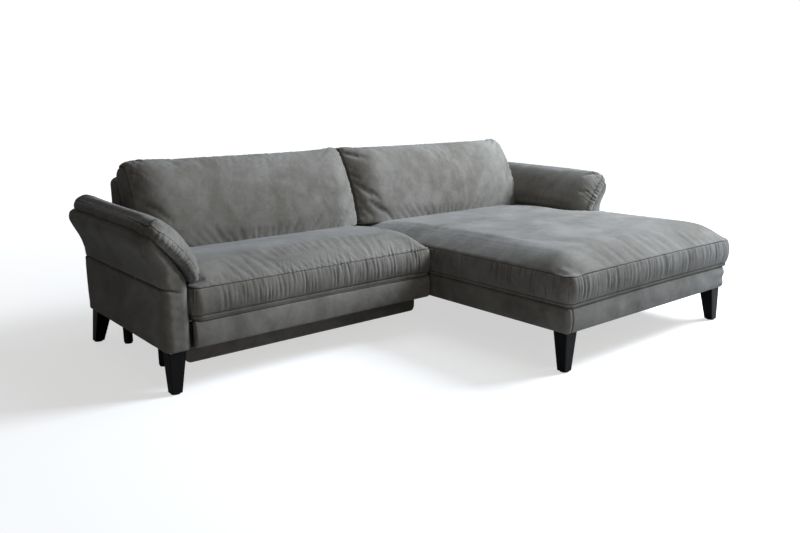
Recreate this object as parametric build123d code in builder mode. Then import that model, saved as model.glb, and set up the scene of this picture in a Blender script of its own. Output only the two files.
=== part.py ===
from build123d import *
from math import atan2, cos, hypot, pi, radians, sin, sqrt, tan
import os

# Corner sofa in two linked units: a seat unit with a pull-out bed front on the left
# and a chaise unit on the right, with a tilting arm at each end and a loose cushion
# on each upholstered back. Millimetres, +X to the right as seen from the front,
# +Y to the back, +Z up. The origin is on the floor, in the middle of the outline.

os.makedirs("parts", exist_ok=True)

# Overall layout
SEAT_WIDTH = 1200.0
CHAISE_WIDTH = 1200.0
ARM_WIDTH = 100.0
ARM_DEPTH = 860.0
SOFA_DEPTH = 895.0
CHAISE_PROJECTION = 800.0
LEG_HEIGHT = 166.0
BASE_HEIGHT = 105.0
UNIT_GAP = 2.0

# Clearances
FACE_GAP = 0.3
RUNNING_GAP = 0.05
BOLT_GAP = 0.3
TILT_GAP = 0.5
SLIDE_GAP = 1.0
SLIDER_PLAY = 0.1

# Timber and base panels
PANEL = 22.0
PANEL_BOW = 8.0
RAIL = 36.0
FRONT_RAIL_SETBACK = 30.0
CROSS_RAIL_HEIGHT = 55.0
SPRING_BAY = 600.0

# Springs and deck
WIRE = 3.8
SPRING_HALF_WIDTH = 24.0
SPRING_STEP = 50.0
SPRINGS_PER_BAY = 7
SPRING_EDGE = 120.0
CLIP_WIDTH = 26.0
CLIP_DEPTH = 12.0
CLIP_HEIGHT = 7.0
FELT = 4.0
FELT_MARGIN = 3.0
LINING = 1.0
LINING_MARGIN = 110.0

# Seat cushions
SEAM_HEIGHT = 127.0
CROWN_HEIGHT = 60.0
REST_HEIGHT = 39.0
CROWN_SETBACK = 175.0
CUSHION_PROUD = 6.0
BAND_BULGE = 10.0
SEAT_SHELF_START = 500.0
CUSHION_SIDE_GAP = 12.0
CUSHION_JOIN_GAP = 4.0
CROWN_FADE = 150.0
DRAWN_IN = 5.0
CHANNEL_SETBACK = 60.0
CHANNEL_DEPTH = 7.0
WING_REACH = 33.0
WING_GAP = 6.0

# Upholstered backs
BACK_HEIGHT = 580.0
BACK_TOP_THICKNESS = 100.0
BACK_SEAT_THICKNESS = 195.0
BACK_ROUND = 35.0
BACK_END_INSET = 50.0
POST_WIDTH = 40.0
POST_DEPTH = 50.0
POST_COUNT = 4
BACK_RAIL_HEIGHT = 26.0

# Back cushions
BACK_CUSHION_TOP = 665.0
BACK_CUSHION_FOOT = 145.0
BACK_CUSHION_EDGE_FOOT = 110.0
BACK_CUSHION_HEAD = 132.0
BACK_CUSHION_EDGE_HEAD = 106.0
BACK_CUSHION_CREST = 66.0
BACK_CUSHION_SHOULDER = 30.0
BACK_CUSHION_BULGE = 34.0
BACK_CUSHION_EDGE_BULGE = 8.0
BACK_CUSHION_CREST_RISE = 16.0
BACK_CUSHION_HEAD_RISE = 9.0
BACK_CUSHION_CORNER = 65.0
BACK_CUSHION_CORNER_DROP = 42.0
BACK_CUSHION_INSET = 52.0

# Arms: lower box, tilting flap on a rolled joint, loose-looking pad on the flap
SHOULDER_HEIGHT = 236.0
KNUCKLE_RADIUS = 15.0
KNUCKLE_INSET = 16.0
KNUCKLE_GAP = 0.6
ARM_ROUND = 10.0
FLAP_DEPTH = 848.0
FLAP_LEAN = 88.0
FLAP_RISE = 202.0
FLAP_FOOT = 92.0
FLAP_LIFT = 6.0
FLAP_BULGE = 6.0
LIP_RISE = 4.0
PAD_BULGE = 36.0
PAD_CORNER_RISE = 5.0
PAD_END_SHRINK = 16.0
PAD_END_DEPTH = 18.0
ARM_SKIN = 14.0
ARM_RAIL = 30.0
ARM_POST = 40.0
ARM_FRAME_THICKNESS = 44.0
ARM_FRAME_HEIGHT = 222.0
ARM_POSTS = 4

# Ratchet fittings in the arms
FITTING_PLATE = 4.0
FITTING_WIDTH = 22.0
FITTING_HEAD = 12.0
FITTING_LEG = 90.0
FITTING_SPLIT = 0.5
FITTING_FOOT = 62.0
FITTING_REACH = 120.0
FITTING_ROOM = 2.0
FITTING_RECESS = 8.5
PIN_RADIUS = 4.0
PIN_HEAD = 6.0
PIN_HEAD_HEIGHT = 2.0
FLAP_RAIL = 18.0
FLAP_RAIL_HEIGHT = 68.0
FLAP_RAIL_RISE = 22.0
FLAP_RAIL_INSET = 14.0
CLEAT = 40.0

# Legs, feet and glides
LEG_TOP = 68.0
LEG_FOOT = 42.0
LEG_ROUND = 4.0
LEG_INSET = 10.0
LEG_RAKE = 44.0
LEG_PLATE = 3.0
LEG_PLATE_MARGIN = 4.0
GLIDE = 5.0
GLIDE_MARGIN = 3.0
BOLT_RADIUS = 5.0
BOLT_ENGAGE = 16.0
BOLT_LENGTH = 60.0
FOOT_RADIUS = 20.0
FOOT_INSET = 25.0
FOOT_FRONT = 358.0
FOOT_REAR = 753.0
CHAISE_FOOT_REAR = 60.0

# Pull-out bed front
FRONT_PANEL_END_GAP = 12.0
PLINTH_SETBACK = 90.0
PLINTH_THICKNESS = 18.0
PLINTH_GROUND = 83.0
PLINTH_CORNER = 25.0
PLINTH_LEFT_GAP = 6.0
PLINTH_RIGHT_GAP = 27.0
STEP_DROP = 2.0
STEP_BOARD = 16.0
TRAY_BOARD = 16.0
TRAY_DEPTH = 650.0
TRAY_INSET = 50.0
TRAY_LIFT = 3.0
TRAY_HEIGHT = 110.0
BATTEN_WIDTH = 50.0
BATTEN_HEIGHT = 18.0
BATTENS = 4
SLAT_WIDTH = 60.0
SLAT_THICKNESS = 8.0
SLATS = 9
BED_PAD_ROUND = 14.0
BED_PAD_CORNER = 40.0
BED_PAD_GAP = 3.0
TRACK_WALL = 1.5
TRACK_WIDTH = 24.0
TRACK_HEIGHT = 8.5
SLIDER_LENGTH = 90.0

# Wheels of the pull-out
WHEEL_RADIUS = 22.0
WHEEL_WIDTH = 18.0
WHEEL_GROOVE = 1.5
AXLE_RADIUS = 4.0
FORK_WALL = 2.5
FORK_LENGTH = 30.0
WHEEL_INSET = 300.0

# Fasteners between the arms and the units
ARM_BOLT_RADIUS = 4.0
ARM_BOLT_HEAD = 8.0
ARM_BOLT_HEAD_HEIGHT = 4.0
ARM_BOLT_ENGAGE = 20.0
ARM_BOLT_RISES = (24.0, 74.0)
LINK_LENGTH = 60.0
LINK_THICKNESS = 3.0
LINK_MARGIN = 4.0
LINK_FRONT = 200.0
LINK_REAR = 600.0
SCREW_RADIUS = 2.5
SCREW_HEAD = 5.0
SCREW_HEAD_HEIGHT = 2.0
SCREW_LENGTH = 22.0
FIXED_SCREW_DROPS = (76.0, 106.0)
MOVING_SCREW_RISES = (46.0, 76.0)

# Planes that several pieces share
OVERALL_DEPTH = SOFA_DEPTH + CHAISE_PROJECTION + CUSHION_PROUD + BAND_BULGE
REAR = OVERALL_DEPTH / 2
FRONT = REAR - SOFA_DEPTH
CHAISE_FRONT = FRONT - CHAISE_PROJECTION
LEFT = -(2 * ARM_WIDTH + SEAT_WIDTH + CHAISE_WIDTH) / 2
SEAT_LEFT = LEFT + ARM_WIDTH
JOIN = SEAT_LEFT + SEAT_WIDTH
CHAISE_RIGHT = JOIN + CHAISE_WIDTH
RIGHT = CHAISE_RIGHT + ARM_WIDTH
BASE = LEG_HEIGHT
DECK = BASE + BASE_HEIGHT
RAIL_TOP = DECK - FELT - CLIP_HEIGHT
CROSS_RAIL = RAIL_TOP - CROSS_RAIL_HEIGHT
WIRE_HEIGHT = RAIL_TOP + CLIP_HEIGHT / 2
SEAM = DECK + SEAM_HEIGHT
REST = SEAM + REST_HEIGHT
SHOULDER = BASE + SHOULDER_HEIGHT
PIVOT_X = LEFT + KNUCKLE_INSET
PIVOT_HEIGHT = SHOULDER + KNUCKLE_RADIUS + 2 * KNUCKLE_GAP
FLAP_BOTTOM = PIVOT_HEIGHT + FLAP_LIFT
ARM_TOP = FLAP_BOTTOM - TILT_GAP
ARM_REAR = FRONT + ARM_DEPTH
BACK_TOP = BASE + BACK_HEIGHT
BACK_FACE = REAR - BACK_SEAT_THICKNESS
BACK_HEAD = REAR - BACK_TOP_THICKNESS
BACK_INSIDE = REAR - PANEL
POST_FRONT = BACK_INSIDE - POST_DEPTH
SPRING_RAIL = FRONT + FRONT_RAIL_SETBACK + RAIL + SPRING_BAY
SEAT_RAILS_IN = SEAT_LEFT + RAIL
SEAT_RIGHT = JOIN - UNIT_GAP
SEAT_RAILS_OUT = SEAT_RIGHT - RAIL
CHAISE_RAILS_IN = JOIN + PANEL + RAIL
CHAISE_RAILS_OUT = CHAISE_RIGHT - PANEL - RAIL
CHAISE_RAIL_FRONT = CHAISE_FRONT + PANEL
FRAME_LEFT = PIVOT_X + FITTING_WIDTH / 2
FRAME_RIGHT = FRAME_LEFT + ARM_FRAME_THICKNESS
FLAP_RAIL_LOW = PIVOT_HEIGHT + FLAP_RAIL_RISE
FLAP_RAIL_TOP = FLAP_RAIL_LOW + FLAP_RAIL_HEIGHT
PLINTH_FRONT = FRONT + PLINTH_SETBACK
TRAY_FRONT = PLINTH_FRONT + PLINTH_THICKNESS
TRAY_REAR = TRAY_FRONT + TRAY_DEPTH
TRAY_BOTTOM = PLINTH_GROUND + TRAY_LIFT
TRAY_TOP = TRAY_BOTTOM + TRAY_HEIGHT
TRAY_LEFT = SEAT_LEFT + TRAY_INSET
TRAY_RIGHT = JOIN - TRAY_INSET
SLAT_BOTTOM = TRAY_BOTTOM + BATTEN_HEIGHT
TRACK_BOTTOM = CROSS_RAIL - TRACK_HEIGHT
BOLT_LOW = BASE + BOLT_ENGAGE - BOLT_LENGTH


def save(piece, name):
    """Label a finished piece and write its own file."""
    piece.part.label = name
    export_step(piece.part, f"parts/{name}.step")


def save_pair(piece, name):
    """Write a piece of the left arm and its mirror image for the right arm."""
    save(piece, f"left_{name}")
    with BuildPart() as twin:
        mirror(piece.part, about=Plane.YZ)
    save(twin, f"right_{name}")


def block(x, y, z, mode=Mode.ADD):
    """Block between the low and high x, y and z, added to the open part."""
    with Locations(((x[0] + x[1]) / 2, (y[0] + y[1]) / 2, (z[0] + z[1]) / 2)):
        Box(x[1] - x[0], y[1] - y[0], z[1] - z[0], mode=mode)


def upright(place, radius, z, mode=Mode.ADD):
    """Upright round bar at a place between two heights, added to the open part."""
    with Locations((place[0], place[1], (z[0] + z[1]) / 2)):
        Cylinder(radius, z[1] - z[0], mode=mode)


def bar_along_x(place, radius, x, mode=Mode.ADD):
    """Round bar along X through a (y, z) place, added to the open part."""
    with Locations(((x[0] + x[1]) / 2, place[0], place[1])):
        Cylinder(radius, x[1] - x[0], rotation=(0, 90, 0), mode=mode)


def bar_along_y(place, radius, y, mode=Mode.ADD):
    """Round bar along Y through an (x, z) place, added to the open part."""
    with Locations((place[0], (y[0] + y[1]) / 2, place[1])):
        Cylinder(radius, y[1] - y[0], rotation=(90, 0, 0), mode=mode)


def outline(plane, corners):
    """Face through corners taken anticlockwise: across, up, outward rise to the next."""
    with BuildSketch(plane) as face:
        with BuildLine():
            for start, end in zip(corners, corners[1:] + corners[:1]):
                if start[:2] == end[:2]:
                    continue
                if start[2]:
                    SagittaArc(start[:2], end[:2], -start[2])
                else:
                    Line(start[:2], end[:2])
        make_face()
    return face.sketch


def level_rise(run, drop):
    """Rise of an arc over its chord when the arc is level at its high end."""
    return hypot(run, drop) / 2 * tan(atan2(drop, run) / 2)


def quarter_rise(radius):
    """Rise of a quarter circle over its chord."""
    return radius * (1 - cos(radians(45)))


def spread(start, end, count):
    """Evenly spaced places from start to end, both included."""
    return [start + (end - start) * step / (count - 1) for step in range(count)]


# Distances in from a cushion's end, as shares of the fade, where its slices stand
FADE_SHARES = (0.0, 0.07, 0.18, 0.34, 0.54, 0.76, 1.0)
LEAST_SHARE = 0.03


def across(low, high, fade):
    """Slice places between two ends, each with the share of crown that is left there."""
    shares = [max(LEAST_SHARE, sin(far * pi / 2)) for far in FADE_SHARES]
    left = [(low + fade * far, share) for far, share in zip(FADE_SHARES, shares)]
    right = [(high - fade * far, share) for far, share in zip(FADE_SHARES, shares)]
    return left + [((low + high) / 2, 1.0)] + right[::-1]


def drawn_in(x, low, high):
    """How far a long side is drawn in at x: most in the middle, nothing at the corners."""
    middle = (low + high) / 2
    return DRAWN_IN * (1 - abs(x - middle) / (high - middle))


# Seat and chaise cushions: slices across the sofa with a flat underside, a bulged
# band up to the sewn edge, a crown of two arcs that are level where they meet, and
# a flat stretch where a back cushion stands on it

def seat_slice(x, front, share):
    """Slice of the seat cushion."""
    peak = front + CROWN_SETBACK
    shelf = FRONT + SEAT_SHELF_START
    crown = SEAM + CROWN_HEIGHT * share
    rest = SEAM + REST_HEIGHT * share
    return outline(Plane.YZ.offset(x), [
        (front, DECK + FACE_GAP, 0),
        (BACK_FACE - FACE_GAP, DECK + FACE_GAP, 0),
        (BACK_FACE - FACE_GAP, rest, 0),
        (shelf, rest, level_rise(shelf - peak, crown - rest)),
        (peak, crown, level_rise(CROWN_SETBACK, crown - SEAM)),
        (front, SEAM, BAND_BULGE),
    ])


def lounge_slice(x, front, end, share, dip=0.0):
    """Slice of the chaise cushion from its front band to an upright rear end."""
    peak = front + CROWN_SETBACK
    crown = SEAM + CROWN_HEIGHT * share
    edge = SEAM + (REST_HEIGHT - dip) * share
    return outline(Plane.YZ.offset(x), [
        (front, DECK + FACE_GAP, 0),
        (end, DECK + FACE_GAP, 0),
        (end, edge, level_rise(end - peak, crown - edge)),
        (peak, crown, level_rise(CROWN_SETBACK, crown - SEAM)),
        (front, SEAM, BAND_BULGE),
    ])


def nook_slice(x, start, share):
    """Slice of the chaise cushion behind the sewn channel, beside the arm."""
    shelf = FRONT + SEAT_SHELF_START
    peak = (start + shelf) / 2
    edge = SEAM + (REST_HEIGHT - CHANNEL_DEPTH) * share
    crown = SEAM + (REST_HEIGHT + CHANNEL_DEPTH) * share
    rest = SEAM + REST_HEIGHT * share
    return outline(Plane.YZ.offset(x), [
        (start, DECK + FACE_GAP, 0),
        (BACK_FACE - FACE_GAP, DECK + FACE_GAP, 0),
        (BACK_FACE - FACE_GAP, rest, 0),
        (shelf, rest, level_rise(shelf - peak, crown - rest)),
        (peak, crown, level_rise(peak - start, crown - edge)),
        (start, edge, 0),
    ])


def build_seat_cushion():
    low, high = SEAT_LEFT + CUSHION_SIDE_GAP, JOIN - CUSHION_JOIN_GAP
    front = FRONT - CUSHION_PROUD
    slices = [seat_slice(x, front + drawn_in(x, low, high), share)
              for x, share in across(low, high, CROWN_FADE)]
    with BuildPart() as cushion:
        loft(sections=slices, ruled=True)
    save(cushion, "seat_cushion")


def build_chaise_cushion():
    low, high = JOIN + CUSHION_JOIN_GAP, CHAISE_RIGHT - CUSHION_SIDE_GAP
    front = CHAISE_FRONT - CUSHION_PROUD
    channel = FRONT + CHANNEL_SETBACK
    tip = CHAISE_RIGHT + WING_REACH
    # The part before the channel fades towards the wing's tip, and is cut where the arm begins
    places = across(low, tip, CROWN_FADE)
    main = [(x, share) for x, share in places if x < high]
    wing = [(x, share) for x, share in places if x > high]
    cut = sin((tip - high) / CROWN_FADE * pi / 2)
    front_part = [lounge_slice(x, front + drawn_in(x, low, tip), channel, share, CHANNEL_DEPTH)
                  for x, share in main + [(high, cut)]]
    wing_part = [lounge_slice(x, front + drawn_in(x, low, tip), FRONT - WING_GAP, share)
                 for x, share in [(high, cut)] + wing]
    rear_part = [nook_slice(x, channel, share) for x, share in across(low, high, CROWN_FADE)]
    with BuildPart() as cushion:
        loft(sections=front_part, ruled=True)
        loft(sections=wing_part, ruled=True)
        loft(sections=rear_part, ruled=True)
    save(cushion, "chaise_cushion")


def back_slice(x, share, corner):
    """Slice of a back cushion: thin at its ends, lower by a rounded corner at its top."""
    foot = BACK_CUSHION_EDGE_FOOT + (BACK_CUSHION_FOOT - BACK_CUSHION_EDGE_FOOT) * share
    head = BACK_CUSHION_EDGE_HEAD + (BACK_CUSHION_HEAD - BACK_CUSHION_EDGE_HEAD) * share
    bulge = BACK_CUSHION_EDGE_BULGE + (BACK_CUSHION_BULGE - BACK_CUSHION_EDGE_BULGE) * share
    top = BASE + BACK_CUSHION_TOP - BACK_CUSHION_CORNER_DROP * (1 - corner)
    low = REST + FACE_GAP
    face, back = BACK_FACE - FACE_GAP, BACK_HEAD - FACE_GAP
    return outline(Plane.YZ.offset(x), [
        (face - foot, low, 0),
        (face, low, 0),
        (back, BACK_TOP - BACK_ROUND, 0),
        (back, BACK_TOP, BACK_CUSHION_CREST_RISE),
        (back - BACK_CUSHION_CREST, top, BACK_CUSHION_HEAD_RISE),
        (back - head, top - BACK_CUSHION_SHOULDER, bulge),
    ])


def build_back_cushion(name, low, high):
    """Back cushion between two ends, standing on the flat of the seat."""
    slices = []
    for x, share in across(low, high, CROWN_FADE):
        near = min(1.0, min(x - low, high - x) / BACK_CUSHION_CORNER)
        slices.append(back_slice(x, share, sqrt(1 - (1 - near) ** 2)))
    with BuildPart() as cushion:
        loft(sections=slices, ruled=True)
    save(cushion, name)


# Springs: a wire that runs to and fro across its bay, held in a clip at each rail

def spring(x, y):
    """One wire of half turns and straight crossings, added to the open part."""
    turns = max(1, round((y[1] - y[0]) / SPRING_STEP))
    step = (y[1] - y[0]) / turns
    bars = [(x, y[0] + step * turn, 1 if turn % 2 == 0 else -1) for turn in range(turns + 1)]
    with BuildLine(Plane.XY.offset(WIRE_HEIGHT)) as path:
        for number, (middle, place, way) in enumerate(bars):
            Line((middle - way * SPRING_HALF_WIDTH, place), (middle + way * SPRING_HALF_WIDTH, place))
            if number < len(bars) - 1:
                start = (middle + way * SPRING_HALF_WIDTH, place)
                end = (middle + way * SPRING_HALF_WIDTH, place + step)
                bend = (middle + way * (SPRING_HALF_WIDTH + step / 2), place + step / 2)
                ThreePointArc(start, bend, end)
    with BuildSketch(Plane(path.line @ 0, z_dir=path.line % 0)) as section:
        Circle(WIRE / 2)
    sweep(section.sketch, path=path.line)


def build_springs(name, x, bays):
    """All the springs of one unit, bay by bay."""
    with BuildPart() as springs:
        for bay in bays:
            for place in spread(x[0] + SPRING_EDGE, x[1] - SPRING_EDGE, SPRINGS_PER_BAY):
                spring(place, bay)
    save(springs, name)


def build_clips(units):
    """Clips that hold both ends of each spring on the rails."""
    with BuildPart() as clips:
        for x, bays in units:
            for place in spread(x[0] + SPRING_EDGE, x[1] - SPRING_EDGE, SPRINGS_PER_BAY):
                for y in (end for bay in bays for end in bay):
                    reach = (place - CLIP_WIDTH / 2, place + CLIP_WIDTH / 2)
                    block(reach, (y - CLIP_DEPTH / 2, y + CLIP_DEPTH / 2),
                          (RAIL_TOP, RAIL_TOP + CLIP_HEIGHT))
                    bar_along_x((y, WIRE_HEIGHT), WIRE / 2 + RUNNING_GAP, reach, Mode.SUBTRACT)
    save(clips, "spring_clips")


# Where the bays run: from the middle of one rail to the middle of the next, clear of
# each other where two bays share a rail
FRONT_RAIL_MIDDLE = FRONT + FRONT_RAIL_SETBACK + RAIL / 2
SPRING_RAIL_MIDDLE = SPRING_RAIL + RAIL / 2
CHAISE_RAIL_MIDDLE = CHAISE_RAIL_FRONT + RAIL / 2
SHARED_OFFSET = RAIL / 4
SEAT_BAYS = [(FRONT_RAIL_MIDDLE, SPRING_RAIL_MIDDLE)]
CHAISE_BAYS = [(CHAISE_RAIL_MIDDLE, FRONT_RAIL_MIDDLE - SHARED_OFFSET),
               (FRONT_RAIL_MIDDLE + SHARED_OFFSET, SPRING_RAIL_MIDDLE)]

# Places of the legs' outer corners with the way inward, and the rake to the back
LEG_CORNERS = {
    "rear_legs": [(LEFT, ARM_REAR, 1, -1, LEG_RAKE), (RIGHT, ARM_REAR, -1, -1, LEG_RAKE)],
    "front_legs": [(LEFT, FRONT, 1, 1, 0), (RIGHT, FRONT, -1, 1, 0),
                   (JOIN, CHAISE_FRONT, 1, 1, 0), (CHAISE_RIGHT, CHAISE_FRONT, -1, 1, 0)],
}
LEG_PLACES = [(x + way_x * (LEG_INSET + LEG_TOP / 2), y + way_y * (LEG_INSET + LEG_TOP / 2))
              for corners in LEG_CORNERS.values() for x, y, way_x, way_y, _ in corners]
SEAT_FEET = [(x, FRONT + y) for x in (SEAT_LEFT + FOOT_INSET, SEAT_RIGHT - FOOT_INSET)
             for y in (FOOT_FRONT, FOOT_REAR)]
CHAISE_FEET = [(x, REAR - CHAISE_FOOT_REAR) for x in (JOIN + PANEL + RAIL / 2,
                                                       CHAISE_RIGHT - PANEL - RAIL / 2)]
LINK_PLACES = (FRONT + LINK_FRONT, FRONT + LINK_REAR)
LINK_SCREW_X = ((SEAT_RAILS_OUT + SEAT_RIGHT) / 2, JOIN + PANEL + RAIL / 2)


def arm_post_places():
    """Middles of the posts in an arm's frame."""
    inset = ARM_SKIN + ARM_POST / 2
    return spread(FRONT + inset, ARM_REAR - inset, ARM_POSTS)


# The two middle posts of an arm carry its bolts, and its ratchet fittings on their fronts
MIDDLE_POSTS = arm_post_places()[1:-1]
FITTING_FACES = [place - ARM_POST / 2 for place in MIDDLE_POSTS]


def bolt_bores(places):
    """Bores for leg bolts, cut from the open part."""
    for place in places:
        upright(place, BOLT_RADIUS + RUNNING_GAP, (BOLT_LOW, BASE + BOLT_ENGAGE), Mode.SUBTRACT)


def link_bores(x):
    """Bores for the link plates' screws, cut from the open part."""
    for y in LINK_PLACES:
        upright((x, y), SCREW_RADIUS + RUNNING_GAP, (BASE, BASE + SCREW_LENGTH), Mode.SUBTRACT)


def arm_bolt_bores(x, gap):
    """Bores for the bolts that hold an arm, cut from the open part."""
    for y in MIDDLE_POSTS:
        for rise in ARM_BOLT_RISES:
            bar_along_x((y, BASE + rise), ARM_BOLT_RADIUS + gap, x, Mode.SUBTRACT)


def build_seat_frame():
    """Rails of the seat unit: two long side rails and three cross rails."""
    depth = (FRONT + FRONT_RAIL_SETBACK, BACK_INSIDE)
    with BuildPart() as rails:
        block((SEAT_LEFT, SEAT_RAILS_IN), depth, (BASE, RAIL_TOP))
        block((SEAT_RAILS_OUT, SEAT_RIGHT), depth, (BASE, RAIL_TOP))
        arm_bolt_bores((SEAT_LEFT, SEAT_RAILS_IN), BOLT_GAP)
        bolt_bores(SEAT_FEET)
        link_bores(LINK_SCREW_X[0])
    save(rails, "seat_side_rails")
    with BuildPart() as rails:
        for start, end in ((depth[0], depth[0] + RAIL), (SPRING_RAIL, SPRING_RAIL + RAIL),
                           (POST_FRONT, BACK_INSIDE)):
            block((SEAT_RAILS_IN, SEAT_RAILS_OUT), (start, end), (CROSS_RAIL, RAIL_TOP))
    save(rails, "seat_cross_rails")


def build_chaise_frame():
    """Rails of the chaise unit, inside its upholstered panels."""
    depth = (CHAISE_RAIL_FRONT, BACK_INSIDE)
    rail_right = (CHAISE_RAILS_OUT, CHAISE_RIGHT - PANEL)
    with BuildPart() as rails:
        block((JOIN + PANEL, CHAISE_RAILS_IN), depth, (BASE, RAIL_TOP))
        block(rail_right, depth, (BASE, RAIL_TOP))
        arm_bolt_bores(rail_right, BOLT_GAP)
        bolt_bores(CHAISE_FEET + LEG_PLACES[-2:])
        link_bores(LINK_SCREW_X[1])
    save(rails, "chaise_side_rails")
    with BuildPart() as rails:
        for start, end in ((depth[0], depth[0] + RAIL),
                           (FRONT_RAIL_MIDDLE - RAIL / 2, FRONT_RAIL_MIDDLE + RAIL / 2),
                           (SPRING_RAIL, SPRING_RAIL + RAIL), (POST_FRONT, BACK_INSIDE)):
            block((CHAISE_RAILS_IN, CHAISE_RAILS_OUT), (start, end), (CROSS_RAIL, RAIL_TOP))
    save(rails, "chaise_cross_rails")


# Base panels: a flat board with a shallow bowed face of foam and cover

def bow_along_x(x, y, z):
    """Bowed face on the front of a panel, added to the open part."""
    shape = outline(Plane.YZ.offset(x[0]), [(y, z[0], 0), (y, z[1], PANEL_BOW)])
    extrude(shape, amount=x[1] - x[0])


def bow_along_y(x, y, z, way):
    """Bowed face on the left (-1) or right (1) of a panel, added to the open part."""
    low, high = (x, z[0]), (x, z[1])
    corners = [(*low, PANEL_BOW), (*high, 0)] if way > 0 else [(*low, 0), (*high, PANEL_BOW)]
    extrude(outline(Plane.XZ.offset(-y[0]), corners), amount=y[0] - y[1])


def build_chaise_panels():
    height = (BASE, DECK)
    depth = (CHAISE_RAIL_FRONT, BACK_INSIDE)
    with BuildPart() as panel:
        block((JOIN, CHAISE_RIGHT), (CHAISE_FRONT, CHAISE_RAIL_FRONT), height)
        bow_along_x((JOIN, CHAISE_RIGHT), CHAISE_FRONT, height)
    save(panel, "chaise_front_panel")
    free = (CHAISE_RAIL_FRONT, FRONT - WING_GAP - PANEL_BOW)
    with BuildPart() as panel:
        block((JOIN, JOIN + PANEL), depth, (BASE, RAIL_TOP))
        block((JOIN, JOIN + PANEL), (depth[0], BACK_FACE - FELT), (RAIL_TOP, DECK))
        bow_along_y(JOIN, free, height, -1)
    save(panel, "chaise_left_panel")
    with BuildPart() as panel:
        block((CHAISE_RIGHT - PANEL, CHAISE_RIGHT), depth, (BASE, RAIL_TOP))
        block((CHAISE_RIGHT - PANEL, CHAISE_RIGHT), (depth[0], BACK_FACE - FELT), (RAIL_TOP, DECK))
        bow_along_y(CHAISE_RIGHT, free, height, 1)
        arm_bolt_bores((CHAISE_RIGHT - PANEL, CHAISE_RIGHT), BOLT_GAP)
    save(panel, "chaise_right_panel")


def build_decks():
    """Felt over the springs of each unit, and the lining under the chaise."""
    height = (DECK - FELT, DECK)
    with BuildPart() as felts:
        block((SEAT_LEFT + FELT_MARGIN, SEAT_RIGHT - FELT_MARGIN),
              (FRONT + FRONT_RAIL_SETBACK, BACK_FACE - FELT), height)
        block((JOIN + PANEL + FACE_GAP, CHAISE_RIGHT - PANEL - FACE_GAP),
              (CHAISE_RAIL_FRONT + FACE_GAP, BACK_FACE - FELT), height)
    save(felts, "deck_felts")
    with BuildPart() as lining:
        block((JOIN + PANEL, CHAISE_RIGHT - PANEL),
              (CHAISE_FRONT + LINING_MARGIN, REAR - LINING_MARGIN), (BASE - LINING, BASE))
        for y in LINK_PLACES:
            reach = LINK_LENGTH / 2 + LINK_MARGIN
            block((JOIN, CHAISE_RAILS_IN), (y - reach, y + reach), (BASE - LINING, BASE),
                  Mode.SUBTRACT)
    save(lining, "chaise_lining")


# Backs: posts and a top rail inside a foam and cover block with a leaning face

def back_span(unit):
    """Low and high X of a unit's back at its foot and above the arms."""
    if unit == "seat":
        return (SEAT_LEFT + UNIT_GAP, JOIN - UNIT_GAP / 2), (SEAT_LEFT + BACK_END_INSET, JOIN - UNIT_GAP / 2)
    inner = JOIN + UNIT_GAP / 2
    return (inner, CHAISE_RIGHT - UNIT_GAP), (inner, CHAISE_RIGHT - BACK_END_INSET)


def back_posts(x):
    """Posts of one back, added to the open part."""
    inset = PANEL + POST_WIDTH / 2
    for middle in spread(x[0] + inset, x[1] - inset, POST_COUNT):
        block((middle - POST_WIDTH / 2, middle + POST_WIDTH / 2), (POST_FRONT, BACK_INSIDE),
              (RAIL_TOP, BACK_TOP - PANEL - BACK_RAIL_HEIGHT))


def back_rail(x):
    """Top rail of one back, added to the open part."""
    block((x[0] + PANEL, x[1] - PANEL), (POST_FRONT, BACK_INSIDE),
          (BACK_TOP - PANEL - BACK_RAIL_HEIGHT, BACK_TOP - PANEL))


def build_back_timber():
    upper = [back_span(unit)[1] for unit in ("seat", "chaise")]
    with BuildPart() as posts:
        for x in upper:
            back_posts(x)
    save(posts, "back_posts")
    with BuildPart() as rails:
        for x in upper:
            back_rail(x)
    save(rails, "back_top_rails")
    return posts.part, rails.part


def build_back(unit, timber):
    """Upholstered back of one unit, pocketed for its timber."""
    foot, upper = back_span(unit)
    turn = quarter_rise(BACK_ROUND)
    side = outline(Plane.YZ.offset(foot[0]), [
        (BACK_FACE, RAIL_TOP, 0),
        (BACK_INSIDE, RAIL_TOP, 0),
        (BACK_INSIDE, BASE, 0),
        (REAR, BASE, 0),
        (REAR, BACK_TOP - BACK_ROUND, turn),
        (REAR - BACK_ROUND, BACK_TOP, 0),
        (BACK_HEAD + BACK_ROUND, BACK_TOP, turn),
        (BACK_HEAD, BACK_TOP - BACK_ROUND, 0),
        (BACK_FACE, REST, 0),
    ])
    front = outline(Plane.XZ.offset(-BACK_FACE), [
        (foot[0], BASE, 0),
        (foot[1], BASE, 0),
        (foot[1], SHOULDER, 0),
        (upper[1], SHOULDER, 0),
        (upper[1], BACK_TOP - BACK_ROUND, turn),
        (upper[1] - BACK_ROUND, BACK_TOP, 0),
        (upper[0] + BACK_ROUND, BACK_TOP, turn),
        (upper[0], BACK_TOP - BACK_ROUND, 0),
        (upper[0], SHOULDER, 0),
        (foot[0], SHOULDER, 0),
    ])
    with BuildPart() as back:
        extrude(side, amount=foot[1] - foot[0])
        extrude(front, amount=-BACK_SEAT_THICKNESS, mode=Mode.INTERSECT)
        for piece in timber:
            add(piece, mode=Mode.SUBTRACT)
    save(back, f"{unit}_back")


# Arms, drawn for the left one and mirrored for the right. Shares are of the flap's
# lean and rise from the pivot, taken anticlockwise from its outer foot

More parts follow.
